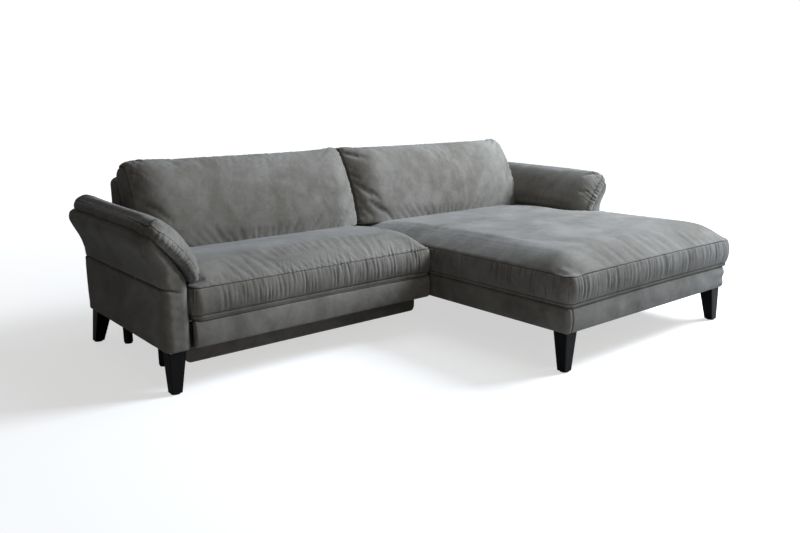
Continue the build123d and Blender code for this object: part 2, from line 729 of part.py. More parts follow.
FLAP_NOSE_SHARES = ((-0.455, 0.950), (-0.841, 1.069), (-1.0, 1.0), (-0.864, 0.916), (-0.534, 0.812))
PAD_LIP_SHARES = ((-0.364, 1.317), (-0.523, 1.238))
PAD_FOOT_SHARES = ((1.341, 0.050), (1.489, 0.110))
PAD_END_SHARES = (0.0, 0.3, 0.7, 1.0)


def flap_point(shares):
    """Place in the arm's cross-section at a share of the flap's lean and rise."""
    return PIVOT_X + FLAP_LEAN * shares[0], PIVOT_HEIGHT + FLAP_RISE * shares[1]


def arm_section(y, corners):
    return outline(Plane.XZ.offset(-y), corners)


def arm_timber():
    """Ladder of two rails and four posts inside an arm's base, added to the open part."""
    top = BASE + ARM_FRAME_HEIGHT
    x = (FRAME_LEFT, FRAME_RIGHT)
    depth = (FRONT + ARM_SKIN, ARM_REAR - ARM_SKIN)
    block(x, depth, (BASE, BASE + ARM_RAIL))
    block(x, depth, (top - ARM_RAIL, top))
    for y in arm_post_places():
        block(x, (y - ARM_POST / 2, y + ARM_POST / 2), (BASE, top))


def build_arm_frame():
    with BuildPart() as frame:
        arm_timber()
        bolt_bores([place for place in LEG_PLACES if place[0] < SEAT_LEFT])
        arm_bolt_bores((FRAME_RIGHT - ARM_BOLT_ENGAGE, FRAME_RIGHT), RUNNING_GAP)
        for face in FITTING_FACES:
            for drop in FIXED_SCREW_DROPS:
                bar_along_y(fixed_screw(drop), SCREW_RADIUS + RUNNING_GAP,
                            (face, face + SCREW_LENGTH), Mode.SUBTRACT)
    save_pair(frame, "arm_frame")


def fixed_screw(drop):
    """Place in the cross-section of a screw through a fixed ratchet plate."""
    return FRAME_LEFT + FITTING_WIDTH / 2, PIVOT_HEIGHT - drop


def moving_screw(rise):
    """Place in the cross-section of a screw through a moving ratchet plate."""
    return PIVOT_X, PIVOT_HEIGHT + rise


def build_arm_cover():
    """Padded cover of an arm's base, with a trough on top for the rolled joint."""
    with BuildPart() as timber:
        arm_timber()
    y = (FRONT, ARM_REAR)
    turn = quarter_rise(ARM_ROUND)
    with BuildPart() as cover:
        extrude(arm_section(y[0], [
            (LEFT, BASE, 0),
            (SEAT_LEFT, BASE, 0),
            (SEAT_LEFT, ARM_TOP, 0),
            (PIVOT_X, ARM_TOP, 0),
            (PIVOT_X, SHOULDER, 0),
            (LEFT + ARM_ROUND, SHOULDER, turn),
            (LEFT, SHOULDER - ARM_ROUND, 0),
        ]), amount=y[0] - y[1])
        upright_edges = cover.edges().filter_by(Axis.Z).group_by(Axis.Y)[0].group_by(Axis.X)[0]
        fillet(upright_edges, radius=ARM_ROUND)
        bar_along_y((PIVOT_X, PIVOT_HEIGHT), KNUCKLE_RADIUS + KNUCKLE_GAP, y, Mode.SUBTRACT)
        add(timber.part, mode=Mode.SUBTRACT)
        arm_bolt_bores((FRAME_RIGHT, SEAT_LEFT), BOLT_GAP)
        for face in FITTING_FACES:
            slot = (face - FITTING_RECESS, face)
            low = PIVOT_HEIGHT - FITTING_REACH - FITTING_ROOM
            half = FITTING_WIDTH / 2 + FITTING_ROOM
            block((PIVOT_X - half, PIVOT_X + half), slot, (low, PIVOT_HEIGHT), Mode.SUBTRACT)
            block((PIVOT_X, FRAME_LEFT + FITTING_WIDTH + FITTING_ROOM), slot,
                  (low, PIVOT_HEIGHT - FITTING_FOOT + FITTING_ROOM), Mode.SUBTRACT)
    save_pair(cover, "arm_cover")


def flap_timber():
    """Rail inside the flap with a cleat behind each moving plate, added to the open part."""
    height = (FLAP_RAIL_LOW, FLAP_RAIL_TOP)
    block((FRAME_LEFT, FRAME_LEFT + FLAP_RAIL),
          (FRONT + FLAP_RAIL_INSET, FRONT + FLAP_DEPTH - FLAP_RAIL_INSET), height)
    for face in FITTING_FACES:
        behind = face + FITTING_SPLIT + FITTING_PLATE
        block((PIVOT_X - FITTING_WIDTH / 2, FRAME_LEFT), (behind, behind + CLEAT), height)


def build_flap_frame():
    with BuildPart() as frame:
        flap_timber()
        for face in FITTING_FACES:
            behind = face + FITTING_SPLIT + FITTING_PLATE
            for rise in MOVING_SCREW_RISES:
                bar_along_y(moving_screw(rise), SCREW_RADIUS + RUNNING_GAP,
                            (behind, behind + SCREW_LENGTH), Mode.SUBTRACT)
    save_pair(frame, "flap_frame")


def build_flap():
    """Tilting flap: rolled knuckle along its foot, leaning body and a nose on top."""
    with BuildPart() as timber:
        flap_timber()
    y = (FRONT, FRONT + FLAP_DEPTH)
    nose = [flap_point(shares) for shares in FLAP_NOSE_SHARES]
    bulges = [0, LIP_RISE, LIP_RISE, LIP_RISE, LIP_RISE]
    corners = [(PIVOT_X - KNUCKLE_RADIUS, PIVOT_HEIGHT, 0),
               (PIVOT_X, PIVOT_HEIGHT, 0),
               (PIVOT_X, FLAP_BOTTOM, 0),
               (PIVOT_X + FLAP_FOOT, FLAP_BOTTOM, FLAP_BULGE)]
    corners += [(*point, bulge) for point, bulge in zip(nose, bulges)]
    with BuildPart() as flap:
        extrude(arm_section(y[0], corners), amount=y[0] - y[1])
        bar_along_y((PIVOT_X, PIVOT_HEIGHT), KNUCKLE_RADIUS, y)
        add(timber.part, mode=Mode.SUBTRACT)
        for face in FITTING_FACES:
            bar_along_y((PIVOT_X, PIVOT_HEIGHT), KNUCKLE_RADIUS + FITTING_ROOM,
                        (face - FITTING_RECESS, face + FITTING_RECESS), Mode.SUBTRACT)
            half = FITTING_WIDTH / 2
            block((PIVOT_X - half - FITTING_ROOM, PIVOT_X + half),
                  (face - PIN_HEAD, face + FITTING_SPLIT + FITTING_PLATE),
                  (PIVOT_HEIGHT, PIVOT_HEIGHT + FITTING_LEG + FITTING_ROOM), Mode.SUBTRACT)
    save_pair(flap, "arm_flap")


def pad_slice(y, share):
    """Slice of an arm pad: its inner side follows the flap, and its ends are thinner."""
    foot = (PIVOT_X + FLAP_FOOT, FLAP_BOTTOM)
    notch = flap_point(FLAP_NOSE_SHARES[0])
    run = hypot(foot[0] - notch[0], foot[1] - notch[1])
    out = ((notch[1] - foot[1]) / run, (foot[0] - notch[0]) / run)
    shrink = PAD_END_SHRINK * (1 - share)

    def shifted(point, far):
        return point[0] + out[0] * far, point[1] + out[1] * far

    start = shifted(foot, FACE_GAP)
    end = shifted(notch, FACE_GAP)
    heel, side = [shifted(flap_point(shares), -shrink) for shares in PAD_FOOT_SHARES]
    crest, lip = [shifted(flap_point(shares), -shrink) for shares in PAD_LIP_SHARES]
    return arm_section(y, [
        (*end, -FLAP_BULGE),
        (*start, 0),
        (*heel, LIP_RISE),
        (*side, PAD_BULGE),
        (*crest, PAD_CORNER_RISE),
        (*lip, 0),
    ])


def build_arm_pad():
    y = (FRONT, FRONT + FLAP_DEPTH)
    places = [(y[0] + PAD_END_DEPTH * far, sin(far * pi / 2)) for far in PAD_END_SHARES]
    places += [(y[1] - PAD_END_DEPTH * far, sin(far * pi / 2)) for far in PAD_END_SHARES[::-1]]
    with BuildPart() as pad:
        loft(sections=[pad_slice(place, share) for place, share in places], ruled=True)
    save_pair(pad, "arm_pad")


def build_fittings():
    """Ratchet plates, their pins and the screws that hold them."""
    half = FITTING_WIDTH / 2
    with BuildPart() as fixed:
        for face in FITTING_FACES:
            y = (face - FITTING_PLATE, face)
            bar_along_y((PIVOT_X, PIVOT_HEIGHT), FITTING_HEAD, y)
            low = PIVOT_HEIGHT - FITTING_REACH
            block((PIVOT_X - half, PIVOT_X + half), y, (low, PIVOT_HEIGHT))
            block((PIVOT_X, FRAME_LEFT + FITTING_WIDTH), y, (low, PIVOT_HEIGHT - FITTING_FOOT))
            bar_along_y((PIVOT_X, PIVOT_HEIGHT), PIN_RADIUS + RUNNING_GAP, y, Mode.SUBTRACT)
            for drop in FIXED_SCREW_DROPS:
                bar_along_y(fixed_screw(drop), SCREW_RADIUS + RUNNING_GAP, y, Mode.SUBTRACT)
        mirror(about=Plane.YZ)
    save(fixed, "ratchet_plates")
    with BuildPart() as moving:
        for face in FITTING_FACES:
            y = (face + FITTING_SPLIT, face + FITTING_SPLIT + FITTING_PLATE)
            bar_along_y((PIVOT_X, PIVOT_HEIGHT), FITTING_HEAD, y)
            block((PIVOT_X - half, PIVOT_X + half), y, (PIVOT_HEIGHT, PIVOT_HEIGHT + FITTING_LEG))
            bar_along_y((PIVOT_X, PIVOT_HEIGHT), PIN_RADIUS + RUNNING_GAP, y, Mode.SUBTRACT)
            for rise in MOVING_SCREW_RISES:
                bar_along_y(moving_screw(rise), SCREW_RADIUS + RUNNING_GAP, y, Mode.SUBTRACT)
    save_pair(moving, "ratchet_arms")
    with BuildPart() as pins:
        for face in FITTING_FACES:
            ends = (face - FITTING_PLATE - RUNNING_GAP,
                    face + FITTING_SPLIT + FITTING_PLATE + RUNNING_GAP)
            bar_along_y((PIVOT_X, PIVOT_HEIGHT), PIN_RADIUS, ends)
            bar_along_y((PIVOT_X, PIVOT_HEIGHT), PIN_HEAD, (ends[0] - PIN_HEAD_HEIGHT, ends[0]))
            bar_along_y((PIVOT_X, PIVOT_HEIGHT), PIN_HEAD, (ends[1], ends[1] + PIN_HEAD_HEIGHT))
        mirror(about=Plane.YZ)
    save(pins, "ratchet_pins")
    with BuildPart() as screws:
        for face in FITTING_FACES:
            for rise in MOVING_SCREW_RISES:
                lying_screw(moving_screw(rise), face + FITTING_SPLIT)
    save_pair(screws, "flap_screws")


def lying_screw(place, face):
    """Screw along Y with its head before a plate's front face, added to the open part."""
    bar_along_y(place, SCREW_HEAD, (face - SCREW_HEAD_HEIGHT, face))
    bar_along_y(place, SCREW_RADIUS, (face, face + FITTING_PLATE + SCREW_LENGTH))


# Legs, feet, glides and fasteners

def square(place, side, z):
    """Square with rounded corners at a height."""
    with BuildSketch(Plane.XY.offset(z)) as face:
        with Locations(place):
            RectangleRounded(side, side, LEG_ROUND)
    return face.sketch


def leg_foot(corner):
    """Middle of a leg's foot: its outer faces are plumb, apart from the rake."""
    x, y, way_x, way_y, rake = corner
    inset = LEG_INSET + LEG_FOOT / 2
    return x + way_x * inset, y + way_y * inset + rake


def build_legs():
    top = BASE - LEG_PLATE
    half = LEG_TOP / 2
    for name, corners in LEG_CORNERS.items():
        with BuildPart() as legs:
            for corner in corners:
                x, y, way_x, way_y, rake = corner
                head = (x + way_x * (LEG_INSET + half), y + way_y * (LEG_INSET + half))
                loft(sections=[square(leg_foot(corner), LEG_FOOT, GLIDE), square(head, LEG_TOP, top)])
                upright(head, BOLT_RADIUS + RUNNING_GAP, (BOLT_LOW, top), Mode.SUBTRACT)
        save(legs, name)
    with BuildPart() as plates:
        side = half - LEG_PLATE_MARGIN
        for x, y in LEG_PLACES:
            block((x - side, x + side), (y - side, y + side), (top, BASE))
            upright((x, y), BOLT_RADIUS + RUNNING_GAP, (top, BASE), Mode.SUBTRACT)
    save(plates, "leg_plates")
    with BuildPart() as feet:
        for place in SEAT_FEET + CHAISE_FEET:
            upright(place, FOOT_RADIUS, (GLIDE, BASE))
        foot_ends = feet.edges().filter_by(GeomType.CIRCLE).group_by(Axis.Z)[0]
        fillet(foot_ends, radius=GLIDE_MARGIN)
        for place in SEAT_FEET + CHAISE_FEET:
            upright(place, BOLT_RADIUS + RUNNING_GAP, (BOLT_LOW, BASE), Mode.SUBTRACT)
    save(feet, "support_feet")
    with BuildPart() as bolts:
        for place in LEG_PLACES + SEAT_FEET + CHAISE_FEET:
            upright(place, BOLT_RADIUS, (BOLT_LOW, BASE + BOLT_ENGAGE))
    save(bolts, "leg_bolts")
    with BuildPart() as glides:
        for corner in (corner for corners in LEG_CORNERS.values() for corner in corners):
            upright(leg_foot(corner), LEG_FOOT / 2 - GLIDE_MARGIN, (0, GLIDE))
        for place in SEAT_FEET + CHAISE_FEET:
            upright(place, FOOT_RADIUS - GLIDE_MARGIN, (0, GLIDE))
    save(glides, "glides")


def build_links():
    """Flat plates that join the two units from below, and the bolts of the arms."""
    with BuildPart() as plates:
        for y in LINK_PLACES:
            block((SEAT_RAILS_OUT + LINK_MARGIN, CHAISE_RAILS_IN - LINK_MARGIN),
                  (y - LINK_LENGTH / 2, y + LINK_LENGTH / 2), (BASE - LINK_THICKNESS, BASE))
            for x in LINK_SCREW_X:
                upright((x, y), SCREW_RADIUS + RUNNING_GAP, (BASE - LINK_THICKNESS, BASE),
                        Mode.SUBTRACT)
    save(plates, "unit_link_plates")
    under = BASE - LINK_THICKNESS
    with BuildPart() as screws:
        for face in FITTING_FACES:
            for drop in FIXED_SCREW_DROPS:
                lying_screw(fixed_screw(drop), face - FITTING_PLATE)
        mirror(about=Plane.YZ)
        for x in LINK_SCREW_X:
            for y in LINK_PLACES:
                upright((x, y), SCREW_HEAD, (under - SCREW_HEAD_HEIGHT, under))
                upright((x, y), SCREW_RADIUS, (under, BASE + SCREW_LENGTH))
    save(screws, "frame_screws")
    with BuildPart() as bolts:
        for y in MIDDLE_POSTS:
            for rise in ARM_BOLT_RISES:
                place = (y, BASE + rise)
                left, right = FRAME_RIGHT - ARM_BOLT_ENGAGE, ARM_BOLT_ENGAGE - FRAME_RIGHT
                bar_along_x(place, ARM_BOLT_RADIUS, (left, SEAT_RAILS_IN))
                bar_along_x(place, ARM_BOLT_HEAD,
                            (SEAT_RAILS_IN, SEAT_RAILS_IN + ARM_BOLT_HEAD_HEIGHT))
                bar_along_x(place, ARM_BOLT_RADIUS, (CHAISE_RAILS_OUT, right))
                bar_along_x(place, ARM_BOLT_HEAD,
                            (CHAISE_RAILS_OUT - ARM_BOLT_HEAD_HEIGHT, CHAISE_RAILS_OUT))
    save(bolts, "arm_bolts")


# Pull-out front and bed tray of the seat unit

BATTEN_PLACES = spread(TRAY_FRONT + BATTEN_WIDTH / 2, TRAY_REAR - BATTEN_WIDTH / 2, BATTENS)
WHEEL_PLACES = {
    "front_left_wheel": (SEAT_LEFT + WHEEL_INSET, BATTEN_PLACES[1]),
    "front_right_wheel": (JOIN - WHEEL_INSET, BATTEN_PLACES[1]),
    "rear_left_wheel": (SEAT_LEFT + WHEEL_INSET, BATTEN_PLACES[-1]),
    "rear_right_wheel": (JOIN - WHEEL_INSET, BATTEN_PLACES[-1]),
}
TRAY_INNER = (TRAY_LEFT + TRAY_BOARD, TRAY_RIGHT - TRAY_BOARD)
TRACK_MIDDLES = (TRAY_LEFT + TRAY_BOARD / 2, TRAY_RIGHT - TRAY_BOARD / 2)
FORK_HALF = WHEEL_WIDTH / 2 + SLIDE_GAP + FORK_WALL


def build_pullout_boards():
    panel_x = (SEAT_LEFT + FRONT_PANEL_END_GAP, JOIN - FRONT_PANEL_END_GAP)
    panel_z = (BASE, DECK - SLIDE_GAP)
    with BuildPart() as panel:
        block(panel_x, (FRONT, FRONT + PANEL), panel_z)
        bow_along_x(panel_x, FRONT, panel_z)
    save(panel, "pullout_front_panel")
    step_top = BASE - STEP_DROP + STEP_BOARD
    with BuildPart() as shelf:
        block((SEAT_RAILS_IN + SLIDE_GAP, SEAT_RAILS_OUT - SLIDE_GAP),
              (FRONT + PANEL, TRAY_FRONT), (BASE - STEP_DROP, step_top))
    save(shelf, "pullout_shelf")
    plinth_x = (SEAT_LEFT + PLINTH_LEFT_GAP, JOIN - PLINTH_RIGHT_GAP)
    turn = quarter_rise(PLINTH_CORNER)
    with BuildPart() as plinth:
        extrude(outline(Plane.XZ.offset(-PLINTH_FRONT), [
            (plinth_x[0] + PLINTH_CORNER, PLINTH_GROUND, 0),
            (plinth_x[1] - PLINTH_CORNER, PLINTH_GROUND, turn),
            (plinth_x[1], PLINTH_GROUND + PLINTH_CORNER, 0),
            (plinth_x[1], BASE - STEP_DROP, 0),
            (plinth_x[0], BASE - STEP_DROP, 0),
            (plinth_x[0], PLINTH_GROUND + PLINTH_CORNER, turn),
        ]), amount=-PLINTH_THICKNESS)
    save(plinth, "pullout_plinth")
    with BuildPart() as boards:
        for x in ((TRAY_LEFT, TRAY_INNER[0]), (TRAY_INNER[1], TRAY_RIGHT)):
            block(x, (TRAY_FRONT, TRAY_REAR), (TRAY_BOTTOM, TRAY_TOP))
    save(boards, "pullout_side_boards")


def build_bed():
    with BuildPart() as battens:
        for y in BATTEN_PLACES:
            block(TRAY_INNER, (y - BATTEN_WIDTH / 2, y + BATTEN_WIDTH / 2),
                  (TRAY_BOTTOM, SLAT_BOTTOM))
    save(battens, "pullout_battens")
    edge = SLAT_WIDTH / 2 + BED_PAD_GAP
    with BuildPart() as slats:
        for x in spread(TRAY_INNER[0] + edge, TRAY_INNER[1] - edge, SLATS):
            block((x - SLAT_WIDTH / 2, x + SLAT_WIDTH / 2), (TRAY_FRONT, TRAY_REAR),
                  (SLAT_BOTTOM, SLAT_BOTTOM + SLAT_THICKNESS))
    save(slats, "pullout_slats")
    with BuildPart() as pad:
        block((TRAY_INNER[0] + BED_PAD_GAP, TRAY_INNER[1] - BED_PAD_GAP),
              (TRAY_FRONT + BED_PAD_GAP, TRAY_REAR - BED_PAD_GAP),
              (SLAT_BOTTOM + SLAT_THICKNESS + FACE_GAP, TRAY_TOP))
        fillet(pad.edges().filter_by(Axis.Z), radius=BED_PAD_CORNER)
        rims = pad.faces().filter_by(Plane.XY).edges()
        fillet(rims, radius=BED_PAD_ROUND)
    save(pad, "bed_pad")


def build_slides():
    """Channel tracks under the seat's cross rails and the sliders that run in them."""
    half = TRACK_WIDTH / 2
    with BuildPart() as tracks:
        for x in TRACK_MIDDLES:
            depth = (FRONT + FRONT_RAIL_SETBACK, BACK_INSIDE)
            block((x - half, x + half), depth, (TRACK_BOTTOM, CROSS_RAIL))
            block((x - half + TRACK_WALL, x + half - TRACK_WALL), depth,
                  (TRACK_BOTTOM, CROSS_RAIL - TRACK_WALL), Mode.SUBTRACT)
    save(tracks, "pullout_tracks")
    side = half - TRACK_WALL - SLIDER_PLAY
    with BuildPart() as sliders:
        for x in TRACK_MIDDLES:
            block((x - side, x + side), (TRAY_REAR - SLIDER_LENGTH, TRAY_REAR),
                  (TRAY_TOP, CROSS_RAIL - TRACK_WALL - SLIDER_PLAY))
    save(sliders, "pullout_sliders")


def build_wheels():
    hub = FORK_HALF - FORK_WALL
    with BuildPart() as forks:
        for x, y in WHEEL_PLACES.values():
            depth = (y - FORK_LENGTH / 2, y + FORK_LENGTH / 2)
            block((x - FORK_HALF, x + FORK_HALF), depth, (TRAY_BOTTOM - FORK_WALL, TRAY_BOTTOM))
            for side in (-1, 1):
                wall = sorted((x + side * FORK_HALF, x + side * hub))
                block(wall, depth, (WHEEL_RADIUS, TRAY_BOTTOM))
                bar_along_x((y, WHEEL_RADIUS), FORK_LENGTH / 2, wall)
            bar_along_x((y, WHEEL_RADIUS), AXLE_RADIUS + RUNNING_GAP,
                        (x - FORK_HALF, x + FORK_HALF), Mode.SUBTRACT)
    save(forks, "wheel_forks")
    with BuildPart() as axles:
        for x, y in WHEEL_PLACES.values():
            ends = (x - FORK_HALF - RUNNING_GAP, x + FORK_HALF + RUNNING_GAP)
            bar_along_x((y, WHEEL_RADIUS), AXLE_RADIUS, ends)
            for end, way in zip(ends, (-1, 1)):
                bar_along_x((y, WHEEL_RADIUS), AXLE_RADIUS + FORK_WALL,
                            sorted((end, end + way * FORK_WALL)))
    save(axles, "wheel_axles")
    for name, (x, y) in WHEEL_PLACES.items():
        half = WHEEL_WIDTH / 2
        with BuildPart() as wheel:
            bar_along_x((y, WHEEL_RADIUS), WHEEL_RADIUS, (x - half, x + half))
            fillet(wheel.edges().filter_by(GeomType.CIRCLE), radius=WHEEL_GROOVE * 2)
            bar_along_x((y, WHEEL_RADIUS), AXLE_RADIUS + RUNNING_GAP, (x - half, x + half),
                        Mode.SUBTRACT)
        save(wheel, name)


build_seat_cushion()
build_chaise_cushion()
build_back_cushion("left_back_cushion", SEAT_LEFT + BACK_CUSHION_INSET, JOIN - CUSHION_JOIN_GAP)
build_back_cushion("right_back_cushion", JOIN + CUSHION_JOIN_GAP, CHAISE_RIGHT - BACK_CUSHION_INSET)
build_springs("seat_springs", (SEAT_LEFT, JOIN), SEAT_BAYS)
build_springs("chaise_springs", (JOIN, CHAISE_RIGHT), CHAISE_BAYS)
build_clips([((SEAT_LEFT, JOIN), SEAT_BAYS), ((JOIN, CHAISE_RIGHT), CHAISE_BAYS)])
build_seat_frame()
build_chaise_frame()
build_chaise_panels()
build_decks()
timber = build_back_timber()
build_back("seat", timber)
build_back("chaise", timber)
build_arm_frame()
build_arm_cover()
build_flap_frame()
build_flap()
build_arm_pad()
build_fittings()
build_legs()
build_links()
build_pullout_boards()
build_bed()
build_slides()
build_wheels()
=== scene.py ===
"""Looks of the corner sofa: upholstery, cushions, timber, steel, light and camera.

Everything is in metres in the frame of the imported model: +X to the right as seen from
the front, +Y to the back, +Z up, with the origin on the floor.
"""

import logging
import math
from dataclasses import dataclass, field
from enum import Enum
from typing import ClassVar, Optional

import bmesh
import bpy
import numpy as np
from mathutils import Matrix, Vector


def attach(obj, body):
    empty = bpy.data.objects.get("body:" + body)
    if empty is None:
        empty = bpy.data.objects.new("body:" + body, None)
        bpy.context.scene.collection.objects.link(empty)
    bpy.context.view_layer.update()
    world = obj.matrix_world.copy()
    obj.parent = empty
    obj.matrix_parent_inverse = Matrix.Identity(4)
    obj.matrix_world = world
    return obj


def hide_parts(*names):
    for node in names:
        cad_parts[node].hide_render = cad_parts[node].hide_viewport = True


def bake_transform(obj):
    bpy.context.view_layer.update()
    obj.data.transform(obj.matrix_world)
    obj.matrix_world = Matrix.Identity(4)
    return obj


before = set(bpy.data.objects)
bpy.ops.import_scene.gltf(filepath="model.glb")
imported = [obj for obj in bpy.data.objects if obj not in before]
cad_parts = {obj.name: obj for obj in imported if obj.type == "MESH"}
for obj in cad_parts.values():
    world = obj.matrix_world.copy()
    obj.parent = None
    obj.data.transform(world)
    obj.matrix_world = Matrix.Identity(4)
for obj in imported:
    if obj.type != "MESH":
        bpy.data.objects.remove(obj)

LOG = logging.getLogger("corner_sofa")
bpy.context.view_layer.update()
Array = np.ndarray


@dataclass(frozen=True)
class Layout:
    """Planes that several pieces share."""

    seat_left: float = -1.200
    join: float = 0.0
    chaise_right: float = 1.200
    front: float = -0.0395
    chaise_front: float = -0.8395
    rear: float = 0.8555
    inside: float = 0.8335
    back_face: float = 0.6605
    back_head: float = 0.7555
    base: float = 0.166
    rail_top: float = 0.260
    deck: float = 0.271
    seam: float = 0.398
    rest: float = 0.437
    shoulder: float = 0.402
    back_top: float = 0.746
    air: float = 0.0003


PLAN = Layout()


class Side(Enum):
    """Which end of the sofa a piece belongs to; its value is the sign of the mirror."""

    LEFT = 1
    RIGHT = -1


class Edge(Enum):
    """Edges of a cushion's panel, in the order in which its outline meets them."""

    NEAR = 0
    HIGH = 1
    FAR = 2
    LOW = 3


# Waves, folds and seams

def wander(places: Array, scale: float, seed: int) -> Array:
    """Smooth unrest along a line: the sum of six sines of nearby wavelengths.

    Args:
        places: Positions along the line.
        scale: Middle wavelength, in metres.
        seed: Which wavelengths and phases to use.

    Returns:
        A value between about -1 and 1 for each place.
    """
    dice = np.random.default_rng(seed)
    waves = dice.uniform(0.6, 1.8, 6) / scale
    phases = dice.uniform(0, 2 * math.pi, 6)
    sines = (np.sin(2 * math.pi * places * wave + phase) for wave, phase in zip(waves, phases))
    return sum(sines) / 3.0


def smooth(low: float, high: float, value: Array) -> Array:
    """Smooth step: 3t² - 2t³ of how far each value is from low to high."""
    t = np.clip((value - low) / (high - low), 0, 1)
    return t * t * (3 - 2 * t)


def bell(away: Array, width: float) -> Array:
    """Bell curve exp(-(d/w)²) of each distance."""
    return np.exp(-((away / width) ** 2))


@dataclass(frozen=True)
class Gathers:
    """Cloth drawn together along a seam.

    The height is the absolute value of a sine along the seam, which gives round ridges
    between sharp valleys. The pitch, the height and the reach wander along the seam;
    calm is the height's share where the folds are weakest. The folds lean sideways by a
    share of the distance from the seam, and fade in at begin and out at end.
    """

    pitch: float = 0.024
    depth: float = 0.0022
    reach: float = 0.060
    lean: float = 0.0
    calm: float = 0.30
    begin: float = -1.0
    end: float = 9.0
    seed: int = 1
    fade: float = 0.12

    def fold(self, places: Array, away: Array) -> Array:
        """Height of the folds along the surface's normal.

        Args:
            places: Positions along the seam.
            away: Distances from the seam.

        Returns:
            Heights, ridges positive and valleys negative.
        """
        along = places + self.lean * away
        phase = math.pi * (along / self.pitch + 0.55 * wander(along, 0.13, self.seed)
                           + 0.22 * wander(along, 0.045, self.seed + 1))
        ridge = np.abs(np.sin(phase)) - 0.6
        lively = np.clip(0.55 + 0.75 * wander(along, 0.21, self.seed + 7), 0, 1.25)
        strength = self.calm + (1 - self.calm) * lively
        window = (smooth(self.begin, self.begin + self.fade, places)
                  * (1 - smooth(self.end - self.fade, self.end, places)))
        run = self.reach * np.clip(0.75 + 0.55 * wander(along, 0.06, self.seed + 3), 0.25, 1.4)
        return self.depth * strength * window * ridge * np.exp(-((away / run) ** 1.5))


def places_between(low: float, high: float, step: float, seams: tuple[float, ...] = (),
                   zones: tuple[tuple[float, float, float], ...] = ()) -> Array:
    """Rising places about a step apart, closer at both ends, beside seams and in zones.

    Args:
        low: First place.
        high: Last place.
        step: Usual distance.
        seams: Places that get close neighbours.
        zones: Stretches with a step of their own: from, to, step.

    Returns:
        The places.
    """
    even = np.linspace(low, high, max(2, round((high - low) / step)) + 1)
    parts = []
    for start, stop, fine in zones:
        even = even[(even < start) | (even > stop)]
        parts.append(np.linspace(start, stop, max(2, round((stop - start) / fine)) + 1))
    usual = np.concatenate([even, *parts])
    beside = np.array([0.0, 0.0015, 0.0032, 0.0055])
    close = [low + beside, high - beside]
    close += [seam + way * beside for seam in seams for way in (-1, 1)]
    fine = np.concatenate(close)
    apart = np.min(np.abs(usual[:, None] - fine[None, :]), axis=1)
    return np.unique(np.round(np.concatenate([usual[apart > 0.002], fine]), 6))


def unit(vectors: Array) -> Array:
    """Vectors of length one in the same directions."""
    return vectors / np.maximum(np.linalg.norm(vectors, axis=-1, keepdims=True), 1e-12)


def normals_of(grid: Array) -> Array:
    """Normals of a grid: the cross product of its differences along both sides."""
    return unit(np.cross(np.gradient(grid, axis=0), np.gradient(grid, axis=1)))


# Meshes

def quads(count: int, rows: int, first: int = 0) -> Array:
    """Faces of a grid of points that are numbered row by row.

    Args:
        count: Points in a row.
        rows: Number of rows.
        first: Number of the first point.

    Returns:
        Four point numbers for each face.
    """
    corner = first + (np.arange(rows - 1)[:, None] * count + np.arange(count - 1)[None, :]).ravel()
    return np.stack([corner, corner + count, corner + count + 1, corner + 1], axis=1)


def strips(loops: Array) -> Array:
    """Faces between neighbouring closed loops of point numbers."""
    first, second = loops[:-1], loops[1:]
    beyond = np.roll(second, -1, axis=1), np.roll(first, -1, axis=1)
    return np.stack([first, second, *beyond], axis=-1).reshape(-1, 4)


def outline_of(grid: Array) -> Array:
    """Edge values of a grid, once around, from its first corner along its first side."""
    return np.concatenate([grid[:-1, 0], grid[-1, :-1], grid[:0:-1, -1], grid[0, :0:-1]])


def put_mesh(name: str, points: Array, faces: Array, caps: Optional[list[list[int]]] = None,
             seams: Optional[Array] = None) -> bpy.types.Object:
    """Makes a smooth closed mesh at the origin, its faces outward.

    Args:
        name: Name of the piece.
        points: Positions, one row each.
        faces: Four point numbers for each face.
        caps: Closing faces with any number of corners.
        seams: How much each point belongs to a sewn line or a fold valley, from 0 to 1; the suede
            paints shade there.

    Returns:
        The new object, linked to the scene.
    """
    mesh = bpy.data.meshes.new(name)
    corners = faces.reshape(-1, 4).tolist() + (caps or [])
    mesh.from_pydata(points.reshape(-1, 3).tolist(), [], corners)
    shape = bmesh.new()
    shape.from_mesh(mesh)
    bmesh.ops.recalc_face_normals(shape, faces=shape.faces)
    shape.to_mesh(mesh)
    shape.free()
    mesh.polygons.foreach_set("use_smooth", np.ones(len(mesh.polygons), bool))
    sewn = mesh.attributes.new("sewn", "FLOAT", "POINT")
    sewn.data.foreach_set("value", np.zeros(len(mesh.vertices), np.float32) if seams is None
                          else np.ascontiguousarray(seams.ravel(), np.float32))
    mesh.update()
    piece = bpy.data.objects.new(name, mesh)
    bpy.context.scene.collection.objects.link(piece)
    return piece


# Boxed cushions: a front panel and a back panel, joined by a band around the edge

